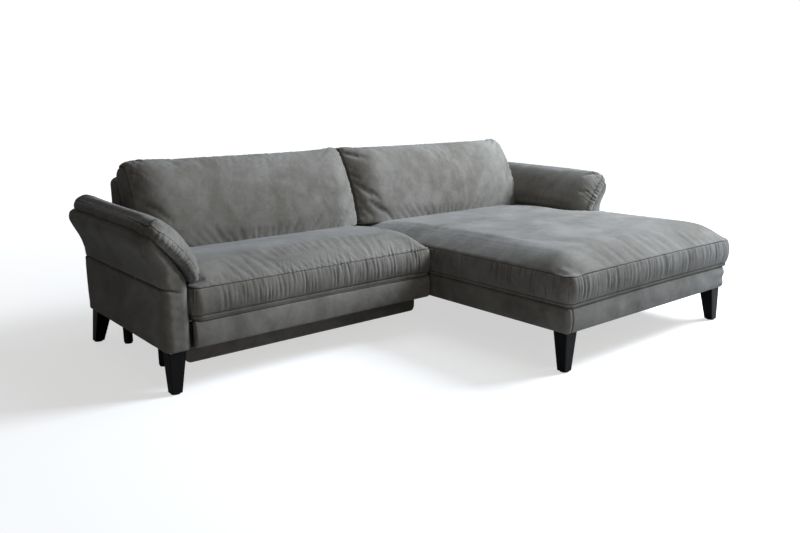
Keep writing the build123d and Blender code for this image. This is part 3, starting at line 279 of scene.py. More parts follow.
@dataclass
class Panel:
    """Places of a panel's grid along its two sides, with corners bent to quarter circles.

    Within a radius of a corner, each coordinate shrinks towards the panel's middle by
    the root of one minus half the square of the other's share, which carries the square
    onto a quarter disc.
    """

    first: Array
    second: Array
    radius: float = 0.03
    a: Array = field(init=False)
    b: Array = field(init=False)

    def __post_init__(self) -> None:
        """Bends the corners."""
        grid_a, grid_b = np.meshgrid(self.first, self.second, indexing="ij")
        (mid_a, half_a), (mid_b, half_b) = self._half(self.first), self._half(self.second)
        in_a = np.clip((np.abs(grid_a - mid_a) - half_a + self.radius) / self.radius, 0, 1)
        in_b = np.clip((np.abs(grid_b - mid_b) - half_b + self.radius) / self.radius, 0, 1)
        shrink_a, shrink_b = 1 - np.sqrt(1 - in_b**2 / 2), 1 - np.sqrt(1 - in_a**2 / 2)
        self.a = grid_a - np.sign(grid_a - mid_a) * self.radius * in_a * shrink_a
        self.b = grid_b - np.sign(grid_b - mid_b) * self.radius * in_b * shrink_b

    @staticmethod
    def _half(places: Array) -> tuple[float, float]:
        """Middle and half length of a side."""
        return float(places[0] + places[-1]) / 2, float(places[-1] - places[0]) / 2

    def away(self, edge: Edge) -> Array:
        """Distance of each point from an edge."""
        return {Edge.NEAR: self.b - self.second[0], Edge.HIGH: self.first[-1] - self.a,
                Edge.FAR: self.second[-1] - self.b, Edge.LOW: self.a - self.first[0]}[edge]

    def along(self, edge: Edge) -> Array:
        """Position of each point along an edge, counted the way the outline runs."""
        width, height = self.first[-1] - self.first[0], self.second[-1] - self.second[0]
        return {Edge.NEAR: self.a - self.first[0], Edge.HIGH: width + self.b - self.second[0],
                Edge.FAR: width + height + self.first[-1] - self.a,
                Edge.LOW: 2 * width + height + self.second[-1] - self.b}[edge]

    def rim(self) -> Array:
        """Distance of each point from the nearest edge, corners taken as round."""
        a = np.minimum(self.away(Edge.LOW), self.away(Edge.HIGH))
        b = np.minimum(self.away(Edge.NEAR), self.away(Edge.FAR))
        reach = self.radius
        in_corner = (a < reach) & (b < reach)
        round_away = reach - np.hypot(reach - a, reach - b)
        return np.maximum(np.where(in_corner, round_away, np.minimum(a, b)), 0)

    def gathered(self, edge: Edge, folds: Gathers) -> Array:
        """Height of folds that start at an edge."""
        return folds.fold(self.along(edge), self.away(edge))

    def groove(self, depth: float = 0.0030, width: float = 0.0032) -> Array:
        """Groove along the edge: minus the depth times a bell of the distance."""
        return -depth * bell(self.rim(), width)

    def outline_places(self) -> Array:
        """Position of each outline point along the outline."""
        width, height = self.first[-1] - self.first[0], self.second[-1] - self.second[0]
        a, b = self.first - self.first[0], self.second - self.second[0]
        return np.concatenate([a[:-1], width + b[:-1], width + height + width - a[:0:-1],
                               2 * width + height + height - b[:0:-1]])


@dataclass
class Band:
    """The strip of cloth around a boxed cushion, from its front panel to its back one."""

    bulge: float = 0.010
    step: float = 0.006
    border: float = 0.0
    tuck: float = 0.0
    depth: float = 0.0030
    width: float = 0.0024
    foot_line: float = 0.4
    # share of painted shade that the fold valleys add to the sewn mask
    valley_shade: float = 0.75
    folds: tuple[Gathers, ...] = ()
    channels: tuple[float, ...] = ()

    def rows(self, panel: Panel, start: Array, end: Array) -> tuple[Array, Array, Array]:
        """Rows of points between two outlines.

        A point is the straight mix of its two outline points, moved outwards by a
        parabola and the folds, and inwards by the border's tuck, which grows with the
        power 1.5 of the way down, and by a groove at each sewn line. The valleys of the
        folds count as partly sewn, so that the suede paints shade into them.

        Args:
            panel: The panel whose outline the band follows.
            start: Outline of the front panel.
            end: Outline of the back panel.

        Returns:
            Points, their share of sewn line and of painted shade in fold valleys, and the outward
            directions.
        """
        gap = float(np.median(np.linalg.norm(end - start, axis=1)))
        sewn = (gap - self.border,) if self.border else ()
        share = (places_between(0.0, gap, self.step, sewn) / gap)[1:-1][:, None]
        tangent = unit(np.roll(start, -2, axis=0) - np.roll(start, 2, axis=0))
        outward = unit(np.cross(tangent, end - start))
        if np.sum(outward * (start - start.mean(axis=0))) < 0:
            outward = -outward
        places = panel.outline_places()[None, :]
        far = share * gap + 0 * places
        main = self.border / gap if self.border else 0.0
        inner = np.clip(share / (1 - main), 0, 1)
        out = self.bulge * 4 * inner * (1 - inner)
        lines = bell(far, self.width) + self.foot_line * bell(gap - far, self.width)
        if self.border:
            outer = np.clip((share - 1 + main) / main, 0, 1)
            out = out - self.tuck * outer**1.5
            lines = lines + bell(gap - self.border - far, self.width)
        pleats = sum((folds.fold(places + 0 * far, far) for folds in self.folds), 0 * far)
        pleats = pleats * smooth(0, 0.25, 1 - inner)
        out = out + pleats - self.depth * np.minimum(lines, 1)
        # painted shade: the fold valleys join the sewn mask, which the suede darkens
        lines = np.maximum(lines, self.valley_shade * np.clip(-pleats / 0.0016, 0, 1))
        points = start + (end - start) * share[..., None] + outward * out[..., None]
        return points, lines, outward

    def cushion(self, name: str, panel: Panel, front: Array, back: Array) -> bpy.types.Object:
        """Makes the closed mesh of both panels and the band.

        Args:
            name: Name of the piece.
            panel: Places of the panels' grids.
            front: Points of the front panel.
            back: Points of the back panel.

        Returns:
            The new object.
        """
        n, m = front.shape[:2]
        edge = outline_of(np.arange(n * m).reshape(n, m))
        rows, sewn, outward = self.rows(panel, outline_of(front), outline_of(back))
        front, back = front.copy(), back.copy()
        front.reshape(-1, 3)[edge] -= outward * self.depth * 0.7
        back.reshape(-1, 3)[edge] -= outward * self.depth * 0.7
        marks = bell(panel.rim(), self.width)
        crossing = [bell(panel.b - channel, self.width) for channel in self.channels]
        upper_marks = np.max([marks, *crossing], axis=0)
        numbers = 2 * n * m + np.arange(rows.size // 3).reshape(rows.shape[:2])
        ring = strips(np.vstack([edge[None], numbers, n * m + edge[None]]))
        faces = np.concatenate([quads(m, n), quads(m, n, n * m), ring])
        points = np.concatenate([front.reshape(-1, 3), back.reshape(-1, 3), rows.reshape(-1, 3)])
        seams = np.concatenate([part.ravel() for part in (upper_marks, marks, sewn)])
        return put_mesh(name, points, faces, seams=seams)


@dataclass(frozen=True)
class Swelling:
    """Cloth simulation that lets a front panel puff up between its seams."""

    stride: int = 2
    pressure: float = 4.0
    cap: float = 0.010
    growth: float = 0.012
    frames: int = 20

    def swell(self, front: Array, back: Array) -> Array:
        """Runs the simulation on a coarse copy and spreads its moves over the full grid.

        The back panel and the seam are pinned. A point's move is cut off at the cap, and
        between coarse points the moves are mixed linearly along both sides.

        Args:
            front: Points of the front panel.
            back: Points of the back panel.

        Returns:
            The swollen front panel.
        """
        pick_a, pick_b = [np.unique(np.append(np.arange(0, count, self.stride), count - 1))
                          for count in front.shape[:2]]
        small, rear = front[np.ix_(pick_a, pick_b)], back[np.ix_(pick_a, pick_b)]
        n, m = small.shape[:2]
        edge = outline_of(np.arange(n * m).reshape(n, m))
        ring = strips(np.stack([edge, n * m + edge]))
        faces = np.concatenate([quads(m, n), quads(m, n, n * m), ring])
        points = np.concatenate([small.reshape(-1, 3), rear.reshape(-1, 3)])
        piece = put_mesh("swelling", points, faces)
        pins = piece.vertex_groups.new(name="pins")
        pins.add(edge.tolist() + list(range(n * m, 2 * n * m)), 1.0, "REPLACE")
        cloth = piece.modifiers.new("cloth", "CLOTH")
        cloth.settings.quality = 4
        cloth.settings.mass = 0.25
        cloth.settings.use_pressure = True
        cloth.settings.uniform_pressure_force = self.pressure
        cloth.settings.vertex_group_mass = "pins"
        cloth.settings.shrink_min = -self.growth
        cloth.settings.tension_stiffness = 12
        cloth.settings.compression_stiffness = 12
        cloth.settings.bending_stiffness = 0.5
        cloth.settings.effector_weights.gravity = 0
        cloth.point_cache.frame_start = 1
        cloth.point_cache.frame_end = self.frames
        for step in range(1, self.frames + 1):
            bpy.context.scene.frame_set(step)
        done = piece.evaluated_get(bpy.context.evaluated_depsgraph_get()).data
        moved = np.zeros(len(done.vertices) * 3)
        done.vertices.foreach_get("co", moved)
        shift = moved.reshape(-1, 3)[: n * m].reshape(n, m, 3) - small
        bpy.context.scene.frame_set(1)
        bpy.data.objects.remove(piece)
        length = np.linalg.norm(shift, axis=-1, keepdims=True)
        shift = shift * np.minimum(1.0, self.cap / np.maximum(length, 1e-9))
        LOG.info("swelling moved points by up to %.1f mm", 1000 * float(length.max()))
        full_a, full_b = np.arange(front.shape[0]), np.arange(front.shape[1])
        wide = np.apply_along_axis(lambda row: np.interp(full_b, pick_b, row), 1, shift)
        full = np.apply_along_axis(lambda row: np.interp(full_a, pick_a, row), 0, wide)
        return front + full


# Bodies worked out as a pile of level slices

@dataclass
class Pile:
    """A closed body as level slices, each a rectangle with rounded corners.

    Each field has one value for each slice, from the lowest to the highest.
    """

    z: Array
    x_low: Array
    x_high: Array
    y_low: Array
    y_high: Array
    radius: Array
    step: float = 0.010
    turn_steps: int = 5

    def rings(self) -> tuple[Array, Array]:
        """Points of every slice, anticlockwise from the front, and their outward directions."""
        fields = np.broadcast_arrays(self.z, self.x_low, self.x_high, self.y_low, self.y_high,
                                     self.radius)
        z, x_low, x_high, y_low, y_high, radius = [np.asarray(v, float)[:, None] for v in fields]
        radius = np.minimum(radius, np.minimum(x_high - x_low, y_high - y_low) * 0.49)
        counts = [max(2, round(float(np.max(high - low)) / self.step)) for low, high in
                  ((x_low, x_high), (y_low, y_high))]
        hub = [(x_high - radius, y_low + radius), (x_high - radius, y_high - radius),
               (x_low + radius, y_high - radius), (x_low + radius, y_low + radius)]
        turns = np.linspace(0, math.pi / 2, self.turn_steps + 1)[None, :]
        xs, ys, ways = [], [], []
        for corner in range(4):
            before, after = hub[corner - 1], hub[corner]
            facing = (corner - 1) * math.pi / 2
            along = np.linspace(0, 1, counts[corner % 2] + 1)[None, 1:-1]
            xs.append(before[0] + (after[0] - before[0]) * along + radius * math.cos(facing))
            ys.append(before[1] + (after[1] - before[1]) * along + radius * math.sin(facing))
            ways.append(np.full(along.shape, facing))
            xs.append(after[0] + radius * np.cos(facing + turns))
            ys.append(after[1] + radius * np.sin(facing + turns))
            ways.append(facing + turns)
        x, y, way = np.concatenate(xs, 1), np.concatenate(ys, 1), np.concatenate(ways, 1)
        points = np.stack([x, y, z + 0 * x], axis=-1)
        return points, np.stack([np.cos(way) + 0 * x, np.sin(way) + 0 * x, 0 * x], axis=-1)

    @staticmethod
    def body(name: str, rings: Array, sewn: Optional[Array] = None) -> bpy.types.Object:
        """Makes the mesh of the rings, closed at both ends.

        Args:
            name: Name of the piece.
            rings: Points of every slice.
            sewn: Share of sewn line of each point, where the suede paints shade.

        Returns:
            The new object.
        """
        rows, count = rings.shape[:2]
        number = np.arange(rows * count).reshape(rows, count)
        lower, upper = number[:-1], number[1:]
        beyond_lower, beyond_upper = np.roll(lower, -1, axis=1), np.roll(upper, -1, axis=1)
        faces = np.stack([lower, beyond_lower, beyond_upper, upper], axis=-1)
        return put_mesh(name, rings, faces, [number[0, ::-1].tolist(), number[-1].tolist()], sewn)


def eased(low: float, high: float, radius: float, step: float, steps: int = 5,
          marks: tuple[float, ...] = ()) -> tuple[Array, Array]:
    """Heights of slices with rounded ends, and how far each slice is drawn in there.

    Args:
        low: Lowest height.
        high: Highest height.
        radius: Radius of the rounding at both ends.
        step: Usual distance between slices.
        steps: Slices in each rounding.
        marks: Heights that get close neighbours.

    Returns:
        Heights and insets; an inset is r - sqrt(r² - d²) of the depth d into the rounding.
    """
    turn = np.linspace(0, 1, steps)
    foot, head = low + radius * turn**2, high - radius * turn[::-1] ** 2
    middle = places_between(low + radius, high - radius, step, marks)
    z = np.unique(np.round(np.concatenate([foot, middle, head]), 6))
    into = np.clip(np.maximum(low + radius - z, z - high + radius), 0, radius)
    return z, radius - np.sqrt(np.maximum(radius**2 - into**2, 0))


# Shader node groups, and the finishes that use them

class Nodes:
    """A node tree with short ways to add and join nodes."""

    def __init__(self, tree: bpy.types.NodeTree) -> None:
        """Keeps the tree."""
        self.tree = tree

    def add(self, kind: str, values: Optional[dict[str, object]] = None,
            **settings: object) -> bpy.types.Node:
        """Adds a node.

        Args:
            kind: Its Blender type, without the leading ShaderNode.
            values: Input values or links, by input name.
            settings: Properties of the node.

        Returns:
            The node.
        """
        node = self.tree.nodes.new("ShaderNode" + kind)
        for key, value in settings.items():
            setattr(node, key, value)
        for key, value in (values or {}).items():
            self.put(node.inputs[key], value)
        return node

    def put(self, socket: bpy.types.NodeSocket, value: object) -> None:
        """Links a socket to another, or sets its value."""
        if isinstance(value, bpy.types.NodeSocket):
            self.tree.links.new(value, socket)
        else:
            socket.default_value = value

    def noise(self, place: object, scale: float, detail: float = 3.0, rough: float = 0.5,
              bend: float = 0.0) -> bpy.types.NodeSocket:
        """Noise at a place, as a value around one half."""
        node = self.add("TexNoise", {"Vector": place, "Scale": scale, "Detail": detail,
                                     "Roughness": rough, "Distortion": bend})
        return node.outputs[0]

    def sharpen(self, value: object, low: float, high: float, to_low: float = 0.0,
                to_high: float = 1.0) -> bpy.types.NodeSocket:
        """Value carried from low..high to another range, and clamped."""
        node = self.add("MapRange", {"Value": value, "From Min": low, "From Max": high,
                                     "To Min": to_low, "To Max": to_high})
        return node.outputs["Result"]

    def maths(self, kind: str, first: object, second: object = 0.0) -> bpy.types.NodeSocket:
        """Result of one arithmetic operation."""
        node = self.add("Math", operation=kind)
        self.put(node.inputs[0], first)
        self.put(node.inputs[1], second)
        return node.outputs[0]

    def weighted(self, *parts: tuple[bpy.types.NodeSocket, float]) -> bpy.types.NodeSocket:
        """Sum of values times their weights."""
        total = self.maths("MULTIPLY", *parts[0])
        for value, weight in parts[1:]:
            total = self.maths("ADD", total, self.maths("MULTIPLY", value, weight))
        return total

    def blend(self, share: object, first: object, second: object) -> bpy.types.NodeSocket:
        """Mix of two colours."""
        node = self.add("Mix", data_type="RGBA")
        self.put(node.inputs[0], share)
        self.put(node.inputs[6], first)
        self.put(node.inputs[7], second)
        return node.outputs[2]

    def stretched(self, place: object, scale: tuple[float, float, float]) -> bpy.types.NodeSocket:
        """A place with each direction scaled."""
        node = self.add("Mapping", {"Vector": place, "Scale": scale})
        return node.outputs["Vector"]

    def scaled(self, place: object, size: object) -> bpy.types.NodeSocket:
        """A place times a number."""
        node = self.add("VectorMath", operation="SCALE")
        self.put(node.inputs[0], place)
        self.put(node.inputs["Scale"], size)
        return node.outputs[0]


class Group(Nodes):
    """A shader node group that takes a place and a size and gives out masks or heights."""

    def __init__(self, name: str, *outputs: str) -> None:
        """Makes the group with its sockets."""
        tree = bpy.data.node_groups.new(name, "ShaderNodeTree")
        tree.interface.new_socket("Place", in_out="INPUT", socket_type="NodeSocketVector")
        size = tree.interface.new_socket("Size", in_out="INPUT", socket_type="NodeSocketFloat")
        size.default_value = 1.0
        for label in outputs:
            tree.interface.new_socket(label, in_out="OUTPUT", socket_type="NodeSocketFloat")
        super().__init__(tree)
        start = tree.nodes.new("NodeGroupInput")
        self.end = tree.nodes.new("NodeGroupOutput")
        self.place = self.scaled(start.outputs["Place"], start.outputs["Size"])

    def out(self, label: str, value: bpy.types.NodeSocket) -> None:
        """Joins a value to an output."""
        self.put(self.end.inputs[label], value)


class Effects:
    """Node groups shared by the finishes, each built once."""

    def __init__(self) -> None:
        """Builds every group."""
        self.clouds = self._clouds()
        self.nap = self._nap()
        self.grain = self._grain()
        self.wear = self._wear()

    @staticmethod
    def _clouds() -> bpy.types.NodeTree:
        """Brushed patches: three noises of falling size, added with falling weight."""
        make = Group("clouds", "Mask")
        wide = make.sharpen(make.noise(make.place, 3.2, 3.0, 0.6, 0.7), 0.36, 0.64)
        brushed = make.stretched(make.place, (1.0, 0.55, 0.8))
        streaks = make.sharpen(make.noise(brushed, 15.0, 4.0, 0.62, 0.5), 0.34, 0.66)
        specks = make.sharpen(make.noise(make.place, 60.0, 3.0, 0.6), 0.3, 0.7)
        make.out("Mask", make.weighted((wide, 0.50), (streaks, 0.32), (specks, 0.18)))
        return make.tree

    @staticmethod
    def _nap() -> bpy.types.NodeTree:
        """Height of short fibres, of a network of small creases and of faint buckles."""
        make = Group("nap", "Height")
        fibres = make.noise(make.place, 900.0, 2.0, 0.7)
        crease = make.sharpen(make.noise(make.place, 75.0, 5.0, 0.65, 0.6), 0.35, 0.65)
        buckle = make.noise(make.stretched(make.place, (1.0, 1.0, 0.6)), 26.0, 2.0, 0.5, 0.4)
        make.out("Height", make.weighted((fibres, 0.16), (crease, 0.24), (buckle, 0.60)))
        return make.tree

    @staticmethod
    def _grain() -> bpy.types.NodeTree:
        """Wood grain along X: stretched bands, and fine pores."""
        make = Group("grain", "Mask", "Pores")
        bands = make.noise(make.stretched(make.place, (1.0, 16.0, 16.0)), 5.0, 4.0, 0.6, 0.6)
        pores = make.noise(make.stretched(make.place, (12.0, 260.0, 260.0)), 4.0, 2.0, 0.6)
        make.out("Mask", make.sharpen(bands, 0.32, 0.68))
        make.out("Pores", make.sharpen(pores, 0.35, 0.6))
        return make.tree

    @staticmethod
    def _wear() -> bpy.types.NodeTree:
        """Rubbed spots and fine scratches of hard surfaces."""
        make = Group("wear", "Mask", "Scratches")
        make.out("Mask", make.sharpen(make.noise(make.place, 18.0, 4.0, 0.6, 0.3), 0.42, 0.72))
        lines = make.noise(make.stretched(make.place, (2.0, 2.0, 90.0)), 8.0, 2.0, 0.6, 1.2)
        make.out("Scratches", make.sharpen(lines, 0.55, 0.62))
        return make.tree


Colour = tuple[float, float, float]


def shade(colour: Colour) -> tuple[float, float, float, float]:
    """Linear colour from one written in 0 to 255, by the usual display curve."""
    parts = [c / 255 for c in colour]
    return (*[c / 12.92 if c < 0.04045 else ((c + 0.055) / 1.055) ** 2.4 for c in parts], 1.0)


def darker(colour: Colour, share: float) -> Colour:
    """A colour with each part multiplied."""
    return colour[0] * share, colour[1] * share, colour[2] * share


@dataclass(frozen=True)
class Finish:
    """A finish with its colours and the settings of its surface."""

    name: str
    dark: Colour
    light: Colour
    rough: float = 0.8
    rough_spread: float = 0.08
    bump: float = 0.4
    bump_height: float = 0.0008
    metallic: float = 0.0
    specular: float = 0.5

    def start(self) -> tuple[bpy.types.Material, Nodes, bpy.types.Node, bpy.types.NodeSocket]:
        """Makes the material.

        Returns:
            The material, its node maker, its shader and its object coordinates.
        """
        material = bpy.data.materials.new(self.name)
        material.use_nodes = True
        make = Nodes(material.node_tree)
        shader = material.node_tree.nodes["Principled BSDF"]
        shader.inputs["Metallic"].default_value = self.metallic
        shader.inputs["Specular IOR Level"].default_value = self.specular
        return material, make, shader, make.add("TexCoord").outputs["Object"]

    def finish(self, make: Nodes, shader: bpy.types.Node, colour: bpy.types.NodeSocket,
               mask: bpy.types.NodeSocket, height: bpy.types.NodeSocket) -> None:
        """Joins colour, roughness and bump to the shader."""
        make.put(shader.inputs["Base Color"], colour)
        low, high = self.rough - self.rough_spread, self.rough + self.rough_spread
        make.put(shader.inputs["Roughness"], make.sharpen(mask, 0, 1, low, high))
        bump = make.add("Bump", {"Height": height, "Strength": self.bump,
                                 "Distance": self.bump_height})
        make.put(shader.inputs["Normal"], bump.outputs["Normal"])

    def mixed(self, make: Nodes, mask: bpy.types.NodeSocket) -> bpy.types.NodeSocket:
        """The finish's two colours, mixed by a mask."""
        return make.blend(mask, shade(self.dark), shade(self.light))

    @staticmethod
    def group(make: Nodes, tree: bpy.types.NodeTree, place: bpy.types.NodeSocket,
              size: float = 1.0) -> bpy.types.Node:
        """Places a node group on the coordinates."""
        node = make.add("Group", node_tree=tree)
        make.put(node.inputs["Place"], place)
        node.inputs["Size"].default_value = size
        return node


@dataclass(frozen=True)
class Suede(Finish):
    """Brushed microfibre: warm dark patches under a cool light nap, with painted shade in its
    seams and fold valleys.
    """

    patch: float = 1.0
    sheen: float = 0.35
    sheen_tint: Colour = (205, 214, 224)

    def build(self, effects: Effects) -> bpy.types.Material:
        """Makes the material from the shared groups."""
        material, make, shader, place = self.start()
        clouds = self.group(make, effects.clouds, place, self.patch).outputs["Mask"]
        height = self.group(make, effects.nap, place).outputs["Height"]
        # painted shade: the sewn mask darkens the colour in seam grooves and fold valleys
        sewn = make.add("Attribute", attribute_name="sewn").outputs["Fac"]
        colour = make.blend(make.sharpen(sewn, 0.2, 0.9, 0.0, 0.55), self.mixed(make, clouds),
                            shade(darker(self.dark, 0.42)))
        self.finish(make, shader, colour, clouds, height)
        shader.inputs["Sheen Weight"].default_value = self.sheen
        shader.inputs["Sheen Roughness"].default_value = 0.45
        shader.inputs["Sheen Tint"].default_value = shade(self.sheen_tint)
        return material


@dataclass(frozen=True)
class Wood(Finish):
    """Wood whose grain runs along X, or upright when turned; bare, or under lacquer."""

    lacquer: float = 0.0
    turned: bool = False

    def build(self, effects: Effects) -> bpy.types.Material:
        """Makes the material from the shared groups."""
        material, make, shader, place = self.start()
        if self.turned:
            quarter = (0.0, math.pi / 2, 0.0)
            turned = make.add("Mapping", {"Vector": place, "Rotation": quarter})
            place = turned.outputs["Vector"]
        grain = self.group(make, effects.grain, place)
        mask, pores = grain.outputs["Mask"], grain.outputs["Pores"]
        colour = make.blend(make.sharpen(pores, 0, 1, 0.3, 0.0), self.mixed(make, mask),
                            shade(darker(self.dark, 0.55)))
        self.finish(make, shader, colour, mask, pores)
        shader.inputs["Coat Weight"].default_value = self.lacquer
        shader.inputs["Coat Roughness"].default_value = 0.22
        return material


@dataclass(frozen=True)
class Hard(Finish):
    """Metal or plastic with rubbed spots and scratches."""

    size: float = 1.0

    def build(self, effects: Effects) -> bpy.types.Material:
        """Makes the material from the shared groups."""
        material, make, shader, place = self.start()
        wear = self.group(make, effects.wear, place, self.size)
        mask, scratches = wear.outputs["Mask"], wear.outputs["Scratches"]
        self.finish(make, shader, self.mixed(make, mask), mask, scratches)
        return material


@dataclass(frozen=True)
class Matted(Finish):
    """Felted or non-woven cloth of short tangled fibres."""

    fibre: float = 240.0

    def build(self, effects: Effects) -> bpy.types.Material:
        """Makes the material from the shared groups."""
        material, make, shader, place = self.start()
        clouds = self.group(make, effects.clouds, place, 3.0).outputs["Mask"]
        fibres = make.noise(place, self.fibre, 4.0, 0.7, 1.5)
        mask = make.sharpen(make.weighted((clouds, 0.4), (fibres, 0.6)), 0.3, 0.7)
        self.finish(make, shader, self.mixed(make, mask), mask, fibres)
        return material


@dataclass(frozen=True)
class Woven(Finish):
    """Plain weave: crossed waves of warp and weft."""

    thread: float = 0.0016

    def build(self, effects: Effects) -> bpy.types.Material:
        """Makes the material from the shared groups."""
        material, make, shader, place = self.start()
        split = make.add("SeparateXYZ", {"Vector": place})
        turns = 2 * math.pi / self.thread
        warp, weft = [make.maths("SINE", make.maths("MULTIPLY", split.outputs[axis], turns))
                      for axis in (0, 1)]
        weave = make.sharpen(make.maths("MULTIPLY", warp, weft), -1, 1)
        clouds = self.group(make, effects.clouds, place, 2.0).outputs["Mask"]
        mask = make.weighted((weave, 0.4), (clouds, 0.6))
        self.finish(make, shader, self.mixed(make, mask), mask, weave)
        return material


@dataclass
class Palette:
    """Every finish of the sofa, by the record's slot names."""

    made: dict[str, bpy.types.Material] = field(default_factory=dict)

    def __post_init__(self) -> None:
        """Builds the materials."""
        effects = Effects()
        finishes = {
            "upholstery": Suede("grey_suede", (90, 86, 79), (128, 125, 120), rough=0.86, bump=0.55,
                                bump_height=0.0012, specular=0.02, sheen=0.28),
            # painted shade: a darker copy of the suede with less sheen, for the plinth in shadow
            # under the front panel
            "shaded_upholstery": Suede("shaded_suede", (80, 75, 69), (108, 105, 100), rough=0.9,
                                       bump=0.5, bump_height=0.001, specular=0.02, sheen=0.2),
            "timber": Wood("sawn_beech", (158, 118, 76), (199, 160, 113), rough=0.72, bump=0.3,
                           bump_height=0.0004),
            "black_wood": Wood("black_lacquer", (6, 6, 7), (13, 12, 12), rough=0.45, bump=0.12,
                               bump_height=0.0003, lacquer=0.02, specular=0.12, turned=True),
            "spring_steel": Hard("drawn_wire", (92, 93, 96), (128, 129, 132), rough=0.38,
                                 metallic=1.0, bump=0.15),
            "zinc_steel": Hard("zinc_plate", (178, 178, 172), (206, 205, 198), rough=0.34,
                               metallic=1.0, bump=0.1),
            "black_metal": Hard("black_powder_coat", (36, 36, 37), (50, 50, 51), rough=0.55,
                                bump=0.25),
            "nylon": Hard("natural_nylon", (214, 211, 200), (232, 229, 219), rough=0.5, bump=0.1,
                          size=2.0),
            "black_plastic": Hard("moulded_black", (34, 34, 35), (48, 48, 49), rough=0.5,
                                  bump=0.15, size=2.0),
            "felt": Matted("needled_felt", (166, 163, 156), (202, 199, 192), rough=0.9, bump=0.6),
            "lining": Matted("black_lining", (30, 30, 30), (44, 44, 44), rough=0.9, bump=0.3,
                             fibre=500.0, specular=0.1),
            "mattress_cover": Woven("grey_ticking", (122, 120, 116), (150, 148, 143), rough=0.9,
                                    bump=0.3, bump_height=0.0004),
        }
        self.made = {slot: finish.build(effects) for slot, finish in finishes.items()}

    def dress(self, piece: bpy.types.Object, slot: str, look: Optional[str] = None) -> None:
        """Gives a piece the finish of a slot, or another look from the same slot."""
        piece.data.materials.clear()
        piece.data.materials.append(self.made[look or slot])


def placed(piece: bpy.types.Object, body: str, *nodes: str) -> bpy.types.Object:
    """Lets a piece ride on a body in the place of some nodes, and reports it."""
    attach(piece, body)
    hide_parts(*nodes)
    LOG.info("%s: %d faces, on %s, for %s", piece.name, len(piece.data.polygons), body,
             ", ".join(nodes))
    return piece


def arc_drop(away: Array, run: float, drop: float) -> Array:
    """Drop below the level end of an arc: R - sqrt(R² - d²), with R from the run and drop."""
    radius = (run**2 + drop**2) / (2 * drop)
    return radius - np.sqrt(np.maximum(radius**2 - np.clip(away, 0, run) ** 2, 0))


def crowned(y: Array, ends: tuple[float, float, float], crown: float, level: float) -> Array:
    """Rise of a seat's middle: an arc up to the crown and one down, level where they meet.

    Args:
        y: Places from front to back.
        ends: Front, place of the crown and end of the second arc.
        crown: Greatest rise.
        level: Rise at the end of the second arc.

    Returns:
        The rise at each place.
    """
    front, peak, end = ends
    return np.where(y < peak, crown - arc_drop(peak - y, peak - front, crown),
                    crown - arc_drop(y - peak, end - peak, crown - level))


def drawn_in(x: Array, y: Array, sides: tuple[float, float], front: float,
             depth: float = 0.005) -> Array:
    """How far a front edge is drawn in between its corners: a parabola that fades to the rear."""
    middle, half = (sides[0] + sides[1]) / 2, (sides[1] - sides[0]) / 2
    return depth * (1 - ((x - middle) / half) ** 2) * (1 - smooth(front, front + 0.2, y))


# Seat and chaise cushions

@dataclass
class SeatCushion:
    """Seat cushion: a crowned top, a gathered band and a flat border below it."""

    palette: Palette
    left: float = PLAN.seat_left + 0.012
    right: float = PLAN.join - 0.004
    front: float = PLAN.front - 0.006
    back: float = PLAN.back_face - PLAN.air
    foot: float = PLAN.deck + PLAN.air
    crown: float = 0.060
    rest: float = 0.039
    setback: float = 0.175
    shelf: float = PLAN.front + 0.5
    fade: float = 0.080
    corner: float = 0.036

    def top(self, panel: Panel) -> Array:
        """Top panel: two arcs that are level where they meet, times a sine at both ends.

        Args:
            panel: Places of the grid.

        Returns:
            Points of the top.
        """
        x, y = panel.a, panel.b
        ends = self.front, self.front + self.setback, self.shelf
        rise = crowned(y, ends, self.crown, self.rest)
        far = np.minimum(panel.away(Edge.LOW), panel.away(Edge.HIGH)) / self.fade
        share = np.maximum(0.03, np.sin(np.clip(far, 0, 1) * math.pi / 2))
        return np.stack([x, y + self.pull(x, y), PLAN.seam + rise * share], axis=-1)

    def pull(self, x: Array, y: Array) -> Array:
        """How far the front edge is drawn in between the corners."""
        return drawn_in(x, y, (self.left, self.right), self.front)

    def build(self) -> bpy.types.Object:
        """Builds, swells, gathers and dresses the cushion."""
        width = self.right - self.left
        zones = ((self.front + 0.006, self.front + 0.13, 0.005),
                 (self.front + 0.13, self.front + 0.26, 0.008))
        panel = Panel(places_between(self.left, self.right, 0.0042),
                      places_between(self.front, self.back, 0.012, zones=zones), self.corner)
        x, y = panel.a, panel.b
        top = self.top(panel)
        floor = np.stack([x, y + self.pull(x, y), np.full_like(x, self.foot)], axis=-1)
        top = Swelling(stride=3, cap=0.012).swell(top, floor)
        out = panel.groove(depth=0.0032)
        out += panel.gathered(Edge.NEAR, Gathers(
            pitch=0.025, depth=0.0064, reach=0.062, lean=-0.55, calm=0.12, begin=0.34,
            end=width + 0.2, seed=11))
        out += panel.gathered(Edge.NEAR, Gathers(
            pitch=0.017, depth=0.0026, reach=0.040, lean=-0.35, calm=0.2, begin=0.10,
            end=width + 0.2, seed=12))
        out += panel.gathered(Edge.HIGH, Gathers(
            pitch=0.026, depth=0.0030, reach=0.060, lean=0.3, calm=0.3, seed=13))
        top += normals_of(top) * out[..., None]
        folds = (Gathers(pitch=0.016, depth=0.0026, reach=0.30, lean=0.05, calm=0.35, begin=0.09,
                         end=width + 0.5, seed=14),
                 Gathers(pitch=0.027, depth=0.0026, reach=0.30, lean=-0.08, calm=0.2, begin=0.05,
                         seed=15))
        band = Band(bulge=0.012, step=0.0062, border=0.020, tuck=0.006, folds=folds)
        piece = band.cushion("seat_cushion_cover", panel, top, floor)
        self.palette.dress(piece, "upholstery")
        placed(piece, "sofa_frame", "seat_cushion")
        return piece


